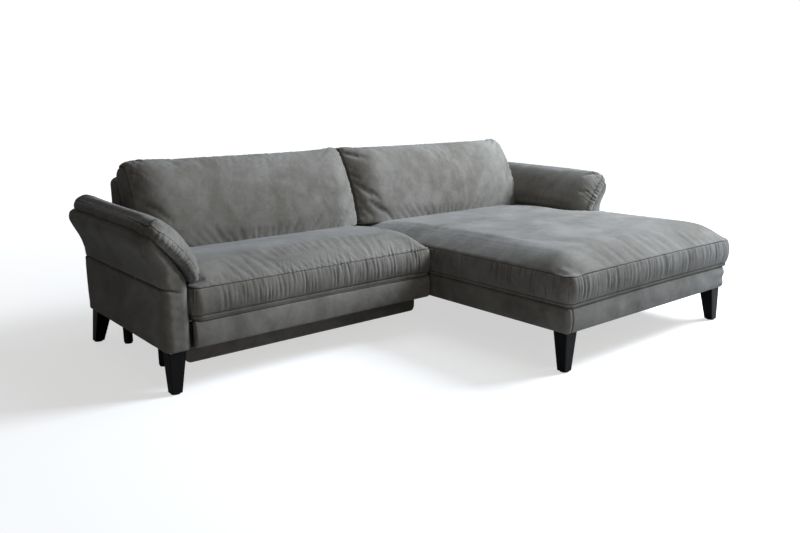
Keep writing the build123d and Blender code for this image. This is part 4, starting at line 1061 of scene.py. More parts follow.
@dataclass
class ChaiseCushion:
    """Chaise cushion: one long crowned top with a sewn channel and a wing before the arm."""

    palette: Palette
    left: float = PLAN.join + 0.004
    right: float = PLAN.chaise_right - 0.012
    tip: float = PLAN.chaise_right + 0.033
    front: float = PLAN.chaise_front - 0.006
    back: float = PLAN.back_face - PLAN.air
    channel: float = PLAN.front + 0.112
    wing_end: float = PLAN.front - 0.007
    foot: float = PLAN.deck + PLAN.air
    crown: float = 0.068
    rest: float = 0.039
    level: float = 0.064
    setback: float = 0.175
    shelf: float = PLAN.front + 0.5
    fades: tuple[float, float, float] = (0.130, 0.080, 0.150)
    corner: float = 0.032

    def edge(self, y: Array) -> Array:
        """Right edge: the wing's tip in front of the arm, and beside the arm its gap."""
        return self.tip + (self.right - self.tip) * smooth(self.wing_end - 0.016, self.wing_end, y)

    def plan(self, panel: Panel) -> tuple[Array, Array]:
        """Places on the floor: the first side is squeezed to end at the right edge."""
        share = (panel.a - self.left) / (self.tip - self.left)
        x = self.left + share * (self.edge(panel.b) - self.left)
        return x, panel.b + drawn_in(x, panel.b, (self.left, self.tip), self.front)

    def rise(self, y: Array) -> Array:
        """Rise of the middle above the seam, by arcs that are level at their tops."""
        ends = self.front, self.front + self.setback, self.channel
        front = crowned(y, ends, self.crown, self.level)
        drop = arc_drop(y - self.channel, self.shelf - self.channel, self.level - self.rest)
        return np.where(y < self.channel, front, self.level - drop)

    def build(self) -> bpy.types.Object:
        """Builds, swells, gathers and dresses the cushion."""
        ends = ((self.left + 0.006, self.left + 0.08, 0.005),
                (self.tip - 0.07, self.tip - 0.006, 0.005))
        bends = ((self.front + 0.006, self.front + 0.08, 0.0055),
                 (self.wing_end - 0.024, self.wing_end + 0.004, 0.003))
        panel = Panel(places_between(self.left, self.tip, 0.007, zones=ends),
                      places_between(self.front, self.back, 0.007, (self.channel,), bends),
                      self.corner)
        x, y = self.plan(panel)
        left_fade, before_arm, beside_arm = self.fades
        nearing = smooth(self.wing_end - 0.10, self.wing_end, y)
        right_fade = before_arm + (beside_arm - before_arm) * nearing
        inner = np.minimum((x - self.left) / left_fade, (self.edge(y) - x) / right_fade)
        share = np.maximum(0.03, np.sin(np.clip(inner, 0, 1) * math.pi / 2))
        top = np.stack([x, y, PLAN.seam + self.rise(y) * share], axis=-1)
        floor = np.stack([x, y, np.full_like(x, self.foot)], axis=-1)
        top = Swelling(stride=4, cap=0.011, growth=0.006).swell(top, floor)
        beside = panel.b - self.channel
        out = panel.groove() - 0.0038 * bell(beside, 0.0034)
        out += panel.gathered(Edge.NEAR, Gathers(
            pitch=0.022, depth=0.0007, reach=0.026, lean=0.2, calm=0.3, seed=21))
        out += panel.gathered(Edge.LOW, Gathers(
            pitch=0.024, depth=0.0012, reach=0.035, lean=-0.2, calm=0.3, seed=23))
        out += Gathers(pitch=0.034, depth=0.0011, reach=0.05, lean=0.3, calm=0.3,
                       seed=24).fold(panel.a, np.abs(beside))
        top += normals_of(top) * out[..., None]
        folds = (Gathers(pitch=0.015, depth=0.0032, reach=0.30, lean=0.03, calm=0.55, seed=25),
                 Gathers(pitch=0.024, depth=0.0030, reach=0.30, lean=-0.06, calm=0.5, seed=26))
        band = Band(bulge=0.011, step=0.0062, border=0.016, tuck=0.005, folds=folds,
                    channels=(self.channel,))
        piece = band.cushion("chaise_cushion_cover", panel, top, floor)
        self.palette.dress(piece, "upholstery")
        placed(piece, "sofa_frame", "chaise_cushion")
        return piece


# Loose back cushions

@dataclass
class BackCushion:
    """Loose back cushion: a bellied front that rolls over the top into a rear seam.

    At both ends and in the middle, three values give how far the front stands before the
    back at the foot and at the head, and its belly. Corners and drops are the width and
    the depth of the crest's rounding at both ends.
    """

    palette: Palette
    side: Side
    low: float
    high: float
    seed: int
    low_end: tuple[float, float, float]
    high_end: tuple[float, float, float]
    corners: tuple[float, float]
    drops: tuple[float, float]
    middle: tuple[float, float, float] = (0.178, 0.135, 0.034)
    top: float = 0.830
    shoulder: float = 0.030
    roll_end: float = math.radians(148)
    fade: float = 0.130
    height: float = 0.505

    def section(self, panel: Panel) -> Array:
        """Front panel, column by column.

        The lower part is a chord with a parabola on it. At its top it meets an arc that is
        tangent to it and turns over the crest.

        Args:
            panel: Places of the grid; its second side is the height.

        Returns:
            Points of the front.
        """
        x, t = panel.a, panel.b / self.height
        inner = np.clip(np.minimum(x - self.low, self.high - x) / self.fade, 0, 1)
        share = np.sin(inner * math.pi / 2)
        left = 2 * x < self.low + self.high
        values = zip(self.low_end, self.high_end, self.middle)
        foot, head, belly = [np.where(left, low, high) * (1 - share) + middle * share
                             for low, high, middle in values]
        crest = self.top + 0 * x
        for near, corner, drop in zip((x - self.low, self.high - x), self.corners, self.drops):
            into = 1 - np.clip(near / corner, 0, 1)
            crest = crest - drop * (1 - np.sqrt(np.maximum(1 - into**2, 0)))
        y0, z0 = PLAN.back_face - PLAN.air - foot, PLAN.rest + PLAN.air
        y1, z1 = PLAN.back_head - head, crest - self.shoulder
        chord, slope = np.hypot(y1 - y0, z1 - z0), np.arctan2(y1 - y0, z1 - z0)
        lean = slope + 4 * belly / chord
        radius = (crest - z1) / (1 - np.sin(lean))
        run = t * (chord + radius * (self.roll_end - lean))
        up = np.clip(run / chord, 0, 1)
        out = belly * 4 * up * (1 - up)
        angle = lean + np.clip(run - chord, 0, None) / radius
        y = y0 + (y1 - y0) * up - out * np.cos(slope) + radius * (np.cos(lean) - np.cos(angle))
        z = z0 + (z1 - z0) * up + out * np.sin(slope) + radius * (np.sin(angle) - np.sin(lean))
        return np.stack([x, y, z], axis=-1)

    def rear(self, panel: Panel) -> Array:
        """Rear panel: against the leaning back, then plumb above its edge."""
        heights = np.array([PLAN.rest + PLAN.air, 0.711, PLAN.back_top])
        places = np.array([PLAN.back_face, PLAN.back_head, PLAN.back_head]) - PLAN.air - 0.0006
        z = heights[0] + (heights[-1] - heights[0]) * panel.b / self.height
        return np.stack([panel.a, np.interp(z, heights, places), z], axis=-1)

    def build(self) -> bpy.types.Object:
        """Builds, swells, gathers and dresses the cushion."""
        height, seed = self.height, self.seed
        ends = ((self.low + 0.006, self.low + 0.07, 0.005),
                (self.high - 0.07, self.high - 0.006, 0.005))
        crest = ((height - 0.17, height - 0.006, 0.005),)
        panel = Panel(places_between(self.low, self.high, 0.0075, zones=ends),
                      places_between(0, height, 0.008, zones=crest), radius=0.030)
        front, rear = self.section(panel), self.rear(panel)
        front = Swelling(stride=2, cap=0.012, growth=0.012).swell(front, rear)
        out = panel.groove()
        out += panel.gathered(Edge.FAR, Gathers(
            pitch=0.023, depth=0.0044, reach=0.140, lean=0.40, calm=0.30, seed=seed))
        out += panel.gathered(Edge.FAR, Gathers(
            pitch=0.039, depth=0.0036, reach=0.160, lean=-0.35, calm=0.15, seed=seed + 1))
        for edge, lean in ((Edge.LOW, 0.25), (Edge.HIGH, -0.25)):
            out += panel.gathered(edge, Gathers(
                pitch=0.024, depth=0.0032, reach=0.045, lean=lean, calm=0.35, seed=seed + 2))
        out += panel.gathered(Edge.NEAR, Gathers(
            pitch=0.030, depth=0.0014, reach=0.050, lean=0.2, calm=0.15, seed=seed + 5))
        front += normals_of(front) * out[..., None]
        folds = (Gathers(pitch=0.022, depth=0.0020, reach=0.08, lean=0.1, calm=0.4,
                         seed=seed + 6),)
        band = Band(bulge=0.008, step=0.008, folds=folds)
        word = self.side.name.lower()
        piece = band.cushion(f"{word}_back_cushion_cover", panel, front, rear)
        self.palette.dress(piece, "upholstery")
        placed(piece, "sofa_frame", f"{word}_back_cushion")
        return piece


# Arms

@dataclass
class Arm:
    """Arm in two parts: a padded cover over base and flap, and a pad on the flap."""

    palette: Palette
    side: Side
    left: float = -1.300
    front: float = PLAN.front
    base_back: float = PLAN.front + 0.871
    flap_back: float = PLAN.front + 0.848
    pivot: tuple[float, float] = (-1.284, 0.4182)
    lean: float = 0.088
    rise: float = 0.202
    crease: float = 0.4095
    girth: float = 0.300
    head: float = 0.622
    sink: float = 0.018
    droop_heights: tuple[float, float] = (0.44, 0.58)
    turn_heights: tuple[float, float] = (0.43, 0.56)
    joint_heights: tuple[float, float] = (0.404, 0.436)
    bends: ClassVar[dict[Side, float]] = {Side.LEFT: 0.055, Side.RIGHT: 0.026}
    outer_line: tuple[tuple[float, float], ...] = (
        (0.0, -1.3000), (0.400, -1.3000), (0.4095, -1.2975), (0.4180, -1.2990), (0.447, -1.3070),
        (0.489, -1.3210), (0.516, -1.3320), (0.540, -1.3440), (0.560, -1.3540), (0.576, -1.3600),
        (0.590, -1.3615), (0.602, -1.3580), (0.612, -1.3500), (0.618, -1.3410), (0.622, -1.3300))
    inner_line: tuple[tuple[float, float], ...] = (
        (0.0, -1.2003), (0.4180, -1.2003), (0.4300, -1.2015), (0.4600, -1.2130),
        (0.5000, -1.2335), (0.5300, -1.2520), (0.5600, -1.2745), (0.5900, -1.3010),
        (0.6060, -1.3160), (0.6150, -1.3230), (0.622, -1.3290))

    @property
    def word(self) -> str:
        """The end's name in lower case."""
        return self.side.name.lower()

    def turned(self, points: Array) -> Array:
        """Points of the left arm, mirrored for the right one."""
        return points * np.array([self.side.value, 1.0, 1.0])

    def droop(self, y: Array) -> Array:
        """How far flap and pad sink to the front: evenly, and more in the last stretch."""
        far = np.clip((y - self.front) / (self.flap_back - self.front), 0, 1)
        return self.sink * (0.3 * (1 - far) + 0.7 * np.clip(1 - far / 0.30, 0, 1) ** 2)

    def turn_in(self, away: Array, y: Array) -> Array:
        """Shift to the rear that rounds the outer front corner in plan.

        Args:
            away: Distances from the outer side.
            y: Places along the arm.

        Returns:
            The quarter circle's r - sqrt(r² - (r - d)²), which fades out behind the front.
        """
        bend = self.bends[self.side]
        into = bend * (1 - np.clip(away / bend, 0, 1))
        fade = np.clip(1 - (y - self.front) / 0.20, 0, 1) ** 2
        return (bend - np.sqrt(np.maximum(bend**2 - into**2, 0))) * fade

    def build_cover(self) -> bpy.types.Object:
        """Builds the cover of base and flap, with the crease between them.

        The base is plumb. Above the crease the outer line leans out to the nose, which is
        a round lip, and the inner line follows the pad's bed from its foot to the notch.
        The crease runs level along the outside, and on the front it dips and ends.
        """
        z, inset = eased(PLAN.base, self.head, 0.006, 0.006, marks=(self.crease,))
        outer, inner = [np.interp(z, *np.array(line).T)
                        for line in (self.outer_line, self.inner_line)]
        soft = np.convolve(np.pad(outer, 2, mode="edge"), [0.1, 0.2, 0.4, 0.2, 0.1], "valid")
        outer = np.where(z > self.turn_heights[0], soft, outer)
        back = np.where(z < 0.418, self.base_back, self.flap_back) - inset
        low = np.minimum(inset, 0.005)
        radius = 0.030 + 0.016 * smooth(0.415, 0.50, z)
        rings, way = Pile(z, outer + low, inner - low, self.front + low, back, radius,
                          step=0.010, turn_steps=6).rings()
        x, y, height = rings[..., 0], rings[..., 1], rings[..., 2]
        facing_front, facing_out = smooth(0.3, 0.9, -way[..., 1]), smooth(0.3, 0.9, -way[..., 0])
        dip = 0.018 * smooth(0.0, 0.075, x - self.left) * facing_front
        dart = (1 - smooth(0.045, 0.085, x - self.left)) * facing_front
        line = bell(height - self.crease + dip, 0.0042) * np.maximum(dart, facing_out)
        out = -0.0065 * line + 0.0035 * bell(height - self.crease - 0.020, 0.018) * facing_out
        out += 0.0022 * bell(height - 0.30, 0.10) * facing_out
        along = np.where(facing_out > 0.5, y, x)
        out += 0.0006 * wander(along + 3 * height, 0.20, 31) * (facing_out + facing_front)
        tucks = Gathers(pitch=0.045, depth=0.0016, reach=0.05, lean=0.5, calm=0.1, seed=33)
        out += tucks.fold(y, np.abs(height - self.crease)) * facing_out
        rings = rings + way * out[..., None]
        rings[..., 1] += self.turn_in(x - outer[:, None], y) * smooth(*self.turn_heights, height)
        rings[..., 2] -= self.droop(y) * smooth(*self.droop_heights, height)
        piece = Pile.body(f"{self.word}_arm_upholstery", self.turned(rings), line)
        self.palette.dress(piece, "upholstery")
        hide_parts(f"{self.word}_arm_cover", f"{self.word}_arm_flap")
        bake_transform(piece)
        LOG.info("%s: %d faces, from sofa_frame to %s_arm", piece.name,
                 len(piece.data.polygons), self.word)
        return piece

    def line(self, t: Array, start: tuple[float, float], end: tuple[float, float], bow: float,
             lift: float = 0.0) -> tuple[Array, Array]:
        """Bowed line across the pad: a chord with a full parabola on its right hand side.

        Args:
            t: Share of the way from start to end.
            start: X and Z of its foot.
            end: X and Z of its top.
            bow: Rise of the parabola.
            lift: Even distance from the chord.

        Returns:
            X and Z of each point.
        """
        run = math.hypot(end[0] - start[0], end[1] - start[1])
        out = (end[1] - start[1]) / run, (start[0] - end[0]) / run
        far = bow * (4 * t * (1 - t)) ** 0.8 + lift
        return (start[0] + (end[0] - start[0]) * t + out[0] * far,
                start[1] + (end[1] - start[1]) * t + out[1] * far)

    def point(self, lean: float, rise: float) -> tuple[float, float]:
        """Place in the arm's section at shares of the flap's lean and rise."""
        return self.pivot[0] + lean * self.lean, self.pivot[1] + rise * self.rise

    def build_pad(self) -> bpy.types.Object:
        """Builds the pad: its top follows an arc, and it rounds over to a sewn edge."""
        nose = ((self.front + 0.006, self.front + 0.10, 0.005),)
        panel = Panel(places_between(self.front, self.flap_back, 0.0075, zones=nose),
                      places_between(0, self.girth, 0.0048), radius=0.032)
        t = panel.b / self.girth
        bed_x, bed_z = self.line(t, (self.pivot[0] + 0.092, 0.4242), self.point(-0.455, 0.950),
                                 bow=0.0135, lift=0.0008)
        top_x, top_z = self.line(t, self.point(1.66, 0.070), self.point(-0.39, 1.345), bow=0.049)
        top_z = top_z + 0.007 * smooth(self.front, self.flap_back, panel.a) * t
        ends = np.minimum(panel.away(Edge.LOW), panel.away(Edge.HIGH)) / 0.060
        rim = np.minimum(ends, np.minimum(panel.away(Edge.NEAR), panel.away(Edge.FAR)) / 0.028)
        full = 0.54 + 0.46 * np.sin(np.clip(rim, 0, 1) * math.pi / 2)
        under = np.stack([bed_x, panel.a, bed_z], axis=-1)
        top = under + (np.stack([top_x, panel.a, top_z], axis=-1) - under) * full[..., None]
        for sheet in (under, top):
            sheet[..., 2] -= self.droop(panel.a) * smooth(*self.droop_heights, sheet[..., 2])
            sheet[..., 1] += self.turn_in(panel.away(Edge.FAR), panel.a)
        top = Swelling(stride=2, cap=0.006, growth=0.008).swell(top, under)
        out = panel.groove(depth=0.0028, width=0.0028)
        out += panel.gathered(Edge.LOW, Gathers(
            pitch=0.024, depth=0.0034, reach=0.040, lean=0.4, calm=0.3, seed=41))
        out += panel.gathered(Edge.NEAR, Gathers(
            pitch=0.030, depth=0.0036, reach=0.090, lean=0.2, calm=0.15, seed=42))
        out += panel.gathered(Edge.FAR, Gathers(
            pitch=0.028, depth=0.0020, reach=0.040, lean=0.3, calm=0.2, seed=43))
        top = top - normals_of(top) * out[..., None]
        folds = (Gathers(pitch=0.021, depth=0.0062, reach=0.10, lean=0.3, calm=0.75, begin=1.78,
                         seed=44),
                 Gathers(pitch=0.030, depth=0.0016, reach=0.08, lean=0.2, seed=45))
        band = Band(bulge=0.013, step=0.005, foot_line=0.2, folds=folds)
        piece = band.cushion(f"{self.word}_arm_cushion", panel, self.turned(top),
                             self.turned(under))
        self.palette.dress(piece, "upholstery")
        placed(piece, f"{self.word}_arm", f"{self.word}_arm_pad")
        return piece

    def build(self) -> None:
        """Builds cover and pad."""
        self.build_cover()
        self.build_pad()


# Backs, base panels and the pull-out bed

@dataclass
class Back:
    """Upholstered back of one unit, with a skirt behind and rounded upper corners."""

    palette: Palette
    unit: str
    foot: tuple[float, float]
    upper: tuple[float, float]
    round: float = 0.035

    def build(self) -> bpy.types.Object:
        """Builds the back from slices and sews lines near the edges of its rear."""
        z, _ = eased(PLAN.base, PLAN.back_top, self.round, 0.016, 8, (PLAN.shoulder,))
        steps = [PLAN.base + 0.002, PLAN.base + 0.005, PLAN.rail_top - 0.0004, PLAN.rail_top,
                 PLAN.shoulder - 0.0004]
        z = np.unique(np.round(np.concatenate([z, steps]), 6))
        into = np.clip(z - PLAN.back_top + self.round, 0, self.round)
        inset = self.round - np.sqrt(np.maximum(self.round**2 - into**2, 0))
        sole = np.clip(PLAN.base + 0.005 - z, 0, 0.005)
        above = z >= PLAN.shoulder
        x_low = np.where(above, self.upper[0] + inset, self.foot[0]) + sole
        x_high = np.where(above, self.upper[1] - inset, self.foot[1]) - sole
        face = np.interp(z, [PLAN.rest, PLAN.back_top - self.round],
                         [PLAN.back_face, PLAN.back_head])
        y_low = np.where(z < PLAN.rail_top, PLAN.inside + 0.0003, face + inset)
        radius = np.where(z < PLAN.rail_top, 0.006, 0.014)
        rings, way = Pile(z, x_low, x_high, y_low, PLAN.rear - inset - sole * 0.6, radius,
                          step=0.014, turn_steps=4).rings()
        x, height = rings[..., 0], rings[..., 2]
        rear = smooth(0.6, 0.95, way[..., 1])
        sides = np.minimum(x - x_low[:, None], x_high[:, None] - x)
        lines = np.maximum(bell(sides - 0.030, 0.004), bell(PLAN.back_top - 0.045 - height, 0.004))
        lines = np.maximum(lines, bell(height - PLAN.rail_top - 0.010, 0.004)) * rear
        belly = np.clip(sides / 0.18, 0, 1) * np.clip((PLAN.back_top - height) / 0.15, 0, 1)
        puff = 0.004 * np.sin(belly * math.pi / 2) * rear
        puff = puff * smooth(PLAN.rail_top, PLAN.rail_top + 0.1, height)
        drift = 0.0008 * wander(x + 0.7 * height, 0.33, 51) * rear
        rings = rings + way * (puff + drift - 0.0035 * lines)[..., None]
        piece = Pile.body(f"{self.unit}_back_upholstery", rings, lines)
        self.palette.dress(piece, "upholstery")
        return placed(piece, "sofa_frame", f"{self.unit}_back")


@dataclass
class ChaiseWall:
    """Upholstered base of the chaise: one bowed ribbon round three sides."""

    palette: Palette
    corner: float = 0.014
    thick: float = 0.022
    bow: float = 0.008
    step: float = 0.011

    def path(self) -> tuple[Array, Array]:
        """Outer line of the wall in plan, from rear left to rear right, and its outward ways."""
        left, right = PLAN.join + 0.0002, PLAN.chaise_right
        front, rear, r = PLAN.chaise_front, PLAN.inside, self.corner
        side = places_between(front + r, rear, self.step)[::-1]
        across = places_between(left + r, right - r, self.step, (left + r + 0.012,))
        turn = np.linspace(0, math.pi / 2, 9)[1:-1]
        points = np.concatenate([
            np.stack([np.full_like(side, left), side], 1),
            np.stack([left + r - r * np.cos(turn), front + r - r * np.sin(turn)], 1),
            np.stack([across, np.full_like(across, front)], 1),
            np.stack([right - r + r * np.sin(turn), front + r - r * np.cos(turn)], 1),
            np.stack([np.full_like(side, right), side[::-1]], 1)])
        ways = np.concatenate([
            np.tile([-1.0, 0.0], (len(side), 1)), np.stack([-np.cos(turn), -np.sin(turn)], 1),
            np.tile([0.0, -1.0], (len(across), 1)), np.stack([np.sin(turn), -np.cos(turn)], 1),
            np.tile([1.0, 0.0], (len(side), 1))])
        return points, ways

    def build(self) -> bpy.types.Object:
        """Builds the ribbon: an outer face with a bow and soft edges, and a flat inner one."""
        plan, ways = self.path()
        height, inset = eased(PLAN.base, PLAN.deck, 0.007, 0.008, 5)
        share = (height - PLAN.base) / (PLAN.deck - PLAN.base)
        free = 1 - smooth(PLAN.front - 0.070, PLAN.front - 0.016, plan[:, 1])
        bow = self.bow * 4 * share[:, None] * (1 - share[:, None]) * free[None, :] - inset[:, None]
        along = np.cumsum(np.append(0, np.linalg.norm(np.diff(plan, axis=0), axis=1)))
        seam = bell(plan[:, 0] - PLAN.join - self.corner - 0.012, 0.0035) * (ways[:, 1] < -0.9)
        wrinkle = 0.0010 * wander(along[None, :] + 0.4 * height[:, None], 0.24, 61) * free[None, :]
        loose = smooth(PLAN.chaise_right - 0.16, PLAN.chaise_right, plan[:, 0])
        loose = loose * (plan[:, 1] < PLAN.chaise_front + 0.08)
        wrinkle = wrinkle + 0.0045 * loose[None, :] * np.sin(share[:, None] * 3 * math.pi + 0.5)
        out = bow + wrinkle * np.sin(share * math.pi)[:, None] - 0.0035 * seam[None, :]
        outer = np.stack([plan[:, 0] + ways[:, 0] * out, plan[:, 1] + ways[:, 1] * out,
                          height[:, None] + 0 * out], axis=-1)
        inner_x = np.clip(plan[:, 0], PLAN.join + self.thick, PLAN.chaise_right - self.thick)
        inner_y = np.maximum(plan[:, 1], PLAN.chaise_front + self.thick)
        ring_z = height[::-1][::3]
        inner = np.stack(np.broadcast_arrays(inner_x, inner_y, ring_z[:, None]), axis=-1)
        rings = np.concatenate([outer, inner]).transpose(1, 0, 2)
        sewn = np.concatenate([np.broadcast_to(seam, outer.shape[:2]),
                               np.zeros(inner.shape[:2])]).T
        piece = Pile.body("chaise_base_upholstery", rings, sewn)
        self.palette.dress(piece, "upholstery")
        return placed(piece, "sofa_frame", "chaise_front_panel", "chaise_left_panel",
                      "chaise_right_panel")


@dataclass
class Pullout:
    """Covered parts of the pull-out bed: its front panel, its plinth and its pad."""

    palette: Palette
    front_sides: tuple[float, float] = (-1.188, -0.012)
    front_top: float = 0.270
    front_thick: float = 0.022
    front_bow: float = 0.008
    plinth_sides: tuple[float, float] = (-1.194, -0.027)
    plinth_heights: tuple[float, float] = (0.083, 0.164)
    plinth_faces: tuple[float, float] = (PLAN.front + 0.090, PLAN.front + 0.108)
    plinth_round: float = 0.025
    pad_x: tuple[float, float] = (-1.131, -0.069)
    pad_y: tuple[float, float] = (0.0715, 0.7155)
    pad_z: tuple[float, float] = (0.1125, 0.196)
    quilt_row: float = 0.1073

    def build_front(self) -> bpy.types.Object:
        """Front panel: bowed forward, with soft edges."""
        z, inset = eased(PLAN.base, self.front_top, 0.008, 0.008, 6)
        share = (z - PLAN.base) / (self.front_top - PLAN.base)
        bow = self.front_bow * 4 * share * (1 - share)
        left, right = self.front_sides
        rings, way = Pile(z, left + inset * 0.6, right - inset * 0.6, PLAN.front - bow + inset,
                          PLAN.front + self.front_thick - inset, radius=0.007, step=0.011,
                          turn_steps=4).rings()
        facing = way[..., 1] < -0.5
        drift = 0.0010 * wander(rings[..., 0] + 0.5 * rings[..., 2], 0.3, 71) * facing
        piece = Pile.body("pullout_front_upholstery", rings + way * drift[..., None])
        self.palette.dress(piece, "upholstery")
        return placed(piece, "pullout", "pullout_front_panel")

    def build_plinth(self) -> bpy.types.Object:
        """Plinth: a board whose lower corners are round, in a darker copy of the suede with
        painted shade.
        """
        (low, high), (left, right), r = self.plinth_heights, self.plinth_sides, self.plinth_round
        z, inset = eased(low, high, 0.005, 0.008, 5)
        turn = r - np.sqrt(r**2 - np.clip(low + r - z, 0, r) ** 2)
        front, rear = self.plinth_faces
        rings, way = Pile(z, left + turn, right - turn, front + inset, rear - inset,
                          radius=0.005, step=0.012, turn_steps=4).rings()
        line = bell(rings[..., 2] - low - 0.016, 0.003) * (way[..., 1] < -0.5)
        rings = rings - way * 0.0015 * line[..., None]
        piece = Pile.body("pullout_plinth_upholstery", rings, line)
        # painted shade: the plinth takes the darker suede copy, as it lies in shadow under the
        # front panel
        self.palette.dress(piece, "upholstery", "shaded_upholstery")
        return placed(piece, "pullout", "pullout_plinth")

    def build_pad(self) -> bpy.types.Object:
        """Bed pad: a boxed foam pad with a crowned top, quilted in rows, flat on the slats."""
        panel = Panel(places_between(*self.pad_x, 0.010), places_between(*self.pad_y, 0.010),
                      radius=0.040)
        quilt = np.abs(np.sin(math.pi * (panel.b - self.pad_y[0]) / self.quilt_row)) ** 0.6
        rim = np.clip(panel.rim() / 0.045, 0, 1)
        low, high = self.pad_z
        rise = (high - low - 0.030) + 0.024 * np.sqrt(1 - (1 - rim) ** 2) * (0.55 + 0.45 * quilt)
        top = np.stack([panel.a, panel.b, low + rise], axis=-1)
        floor = np.stack([panel.a, panel.b, np.full_like(panel.a, low + 0.0005)], axis=-1)
        top = Swelling(stride=2, cap=0.004, growth=0.004).swell(top, floor)
        top[..., 2] -= 0.002 * bell(panel.rim(), 0.003)
        band = Band(bulge=-0.001, step=0.008, depth=0.002)
        piece = band.cushion("bed_pad_cover", panel, top, floor)
        self.palette.dress(piece, "mattress_cover")
        placed(piece, "pullout", "bed_pad")
        return piece

    def build(self) -> None:
        """Builds all three."""
        self.build_front()
        self.build_plinth()
        self.build_pad()


@dataclass
class FlatCloth:
    """Thin cloth that lies or is stretched flat: deck felts, chaise lining, seat facing."""

    palette: Palette
    facing_sides: tuple[float, float] = (-1.1998, -0.0025)
    facing_flaps: tuple[float, float] = (-1.163, -0.04)
    facing_faces: tuple[float, float] = (-0.0112, -0.0100)
    facing_top: float = 0.2665
    flap_foot: float = 0.167
    bed_gap: float = 0.2065

    def spread(self, name: str, slot: str, x: tuple[float, float], y: tuple[float, float],
               z: tuple[float, float], node: str) -> bpy.types.Object:
        """Builds one closed thin sheet whose surface drifts up and down a little.

        Args:
            name: Name of the piece.
            slot: Slot of its finish.
            x: Extent along X.
            y: Extent along Y.
            z: Extent along Z.
            node: Node that it stands for.

        Returns:
            The new object.
        """
        panel = Panel(places_between(*x, 0.03), places_between(*y, 0.03), 0.004)
        wave = 0.1 * (z[1] - z[0])
        drift = wave * wander(panel.a + 0.6 * panel.b, 0.4, 81) * np.clip(panel.rim() / 0.1, 0, 1)
        top = np.stack([panel.a, panel.b, z[1] + drift - wave], axis=-1)
        under = np.stack([panel.a, panel.b, z[0] + drift + wave], axis=-1)
        piece = Band(bulge=0.0, step=0.01, depth=0.0).cushion(name, panel, top, under)
        self.palette.dress(piece, slot)
        placed(piece, "sofa_frame", node)
        return piece

    def face_seat(self) -> bpy.types.Object:
        """Builds the black cloth on the seat's front rail, with a flap at both ends.

        Returns:
            The new object, a closed sheet whose lower edge is higher over the bed.
        """
        left, right = self.facing_flaps
        beside = tuple(flap + way for flap in (left, right) for way in (-0.0005, 0.0005))
        x = places_between(*self.facing_sides, 0.012, beside)
        low = np.where((x < left) | (x > right), self.flap_foot, self.bed_gap)
        share = np.linspace(0, 1, 9)[:, None]
        z = low + (self.facing_top - low) * share
        drift = 0.0002 * wander(x[None, :] + 0.6 * z, 0.2, 83) - 0.0002
        front, rear = [np.stack([x + 0 * z, y + drift + 0 * z, z], axis=-1)
                       for y in self.facing_faces]
        rings = np.concatenate([front, rear[::-1]]).transpose(1, 0, 2)
        piece = Pile.body("seat_frame_facing", rings)
        self.palette.dress(piece, "lining")
        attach(piece, "sofa_frame")
        LOG.info("%s: %d faces, on sofa_frame", piece.name, len(piece.data.polygons))
        return piece

    def build(self) -> None:
        """Builds the felts, the lining and the facing."""
        self.spread("seat_felt", "felt", x=(-1.197, -0.005), y=(-0.0095, 0.6565),
                    z=(0.267, 0.271), node="deck_felts")
        self.spread("chaise_felt", "felt", x=(0.0223, 1.1777), y=(-0.8172, 0.6565),
                    z=(0.267, 0.271), node="deck_felts")
        self.spread("chaise_lining_cloth", "lining", x=(0.022, 1.178), y=(-0.7295, 0.7455),
                    z=(0.165, 0.166),
                    node="chaise_lining")
        self.face_seat()


@dataclass
class HardParts:
    """Nodes whose shapes stay: timber, legs, springs, fittings, glides and wheels."""

    palette: Palette

    def build(self) -> None:
        """Gives every shown node the finish of its own slot."""
        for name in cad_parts:
            node = bpy.data.objects.get(name)
            if node is None or node.hide_render:
                continue
            for place in node.material_slots:
                slot = (place.material.name if place.material else "").split(".")[0]
                place.material = self.palette.made.get(slot, self.palette.made["timber"])
            looks = ", ".join(place.material.name for place in node.material_slots)
            LOG.info("%s keeps its shape, in %s", name, looks)


# Studio

@dataclass(frozen=True)
class Lamp:
    """A square area light: its place, the point that it faces, its side, watts and colour."""

    name: str
    place: tuple[float, float, float]
    aim: tuple[float, float, float]
    size: float
    power: float
    colour: Colour


LAMPS = (
    Lamp("window", (3.4, -1.4, 3.0), (0.3, 0.0, 0.4), 1.8, 470.0, (234, 244, 255)),
    Lamp("sky", (0.9, -0.2, 3.3), (0.7, -0.2, 0.4), 2.0, 34.0, (238, 246, 255)),
    Lamp("front", (-0.8, -4.4, 2.8), (0.0, 0.4, 0.5), 2.4, 20.0, (255, 246, 232)),
    Lamp("room", (-3.4, -2.0, 2.2), (-0.4, 0.2, 0.4), 2.4, 2.0, (255, 222, 184)),
)


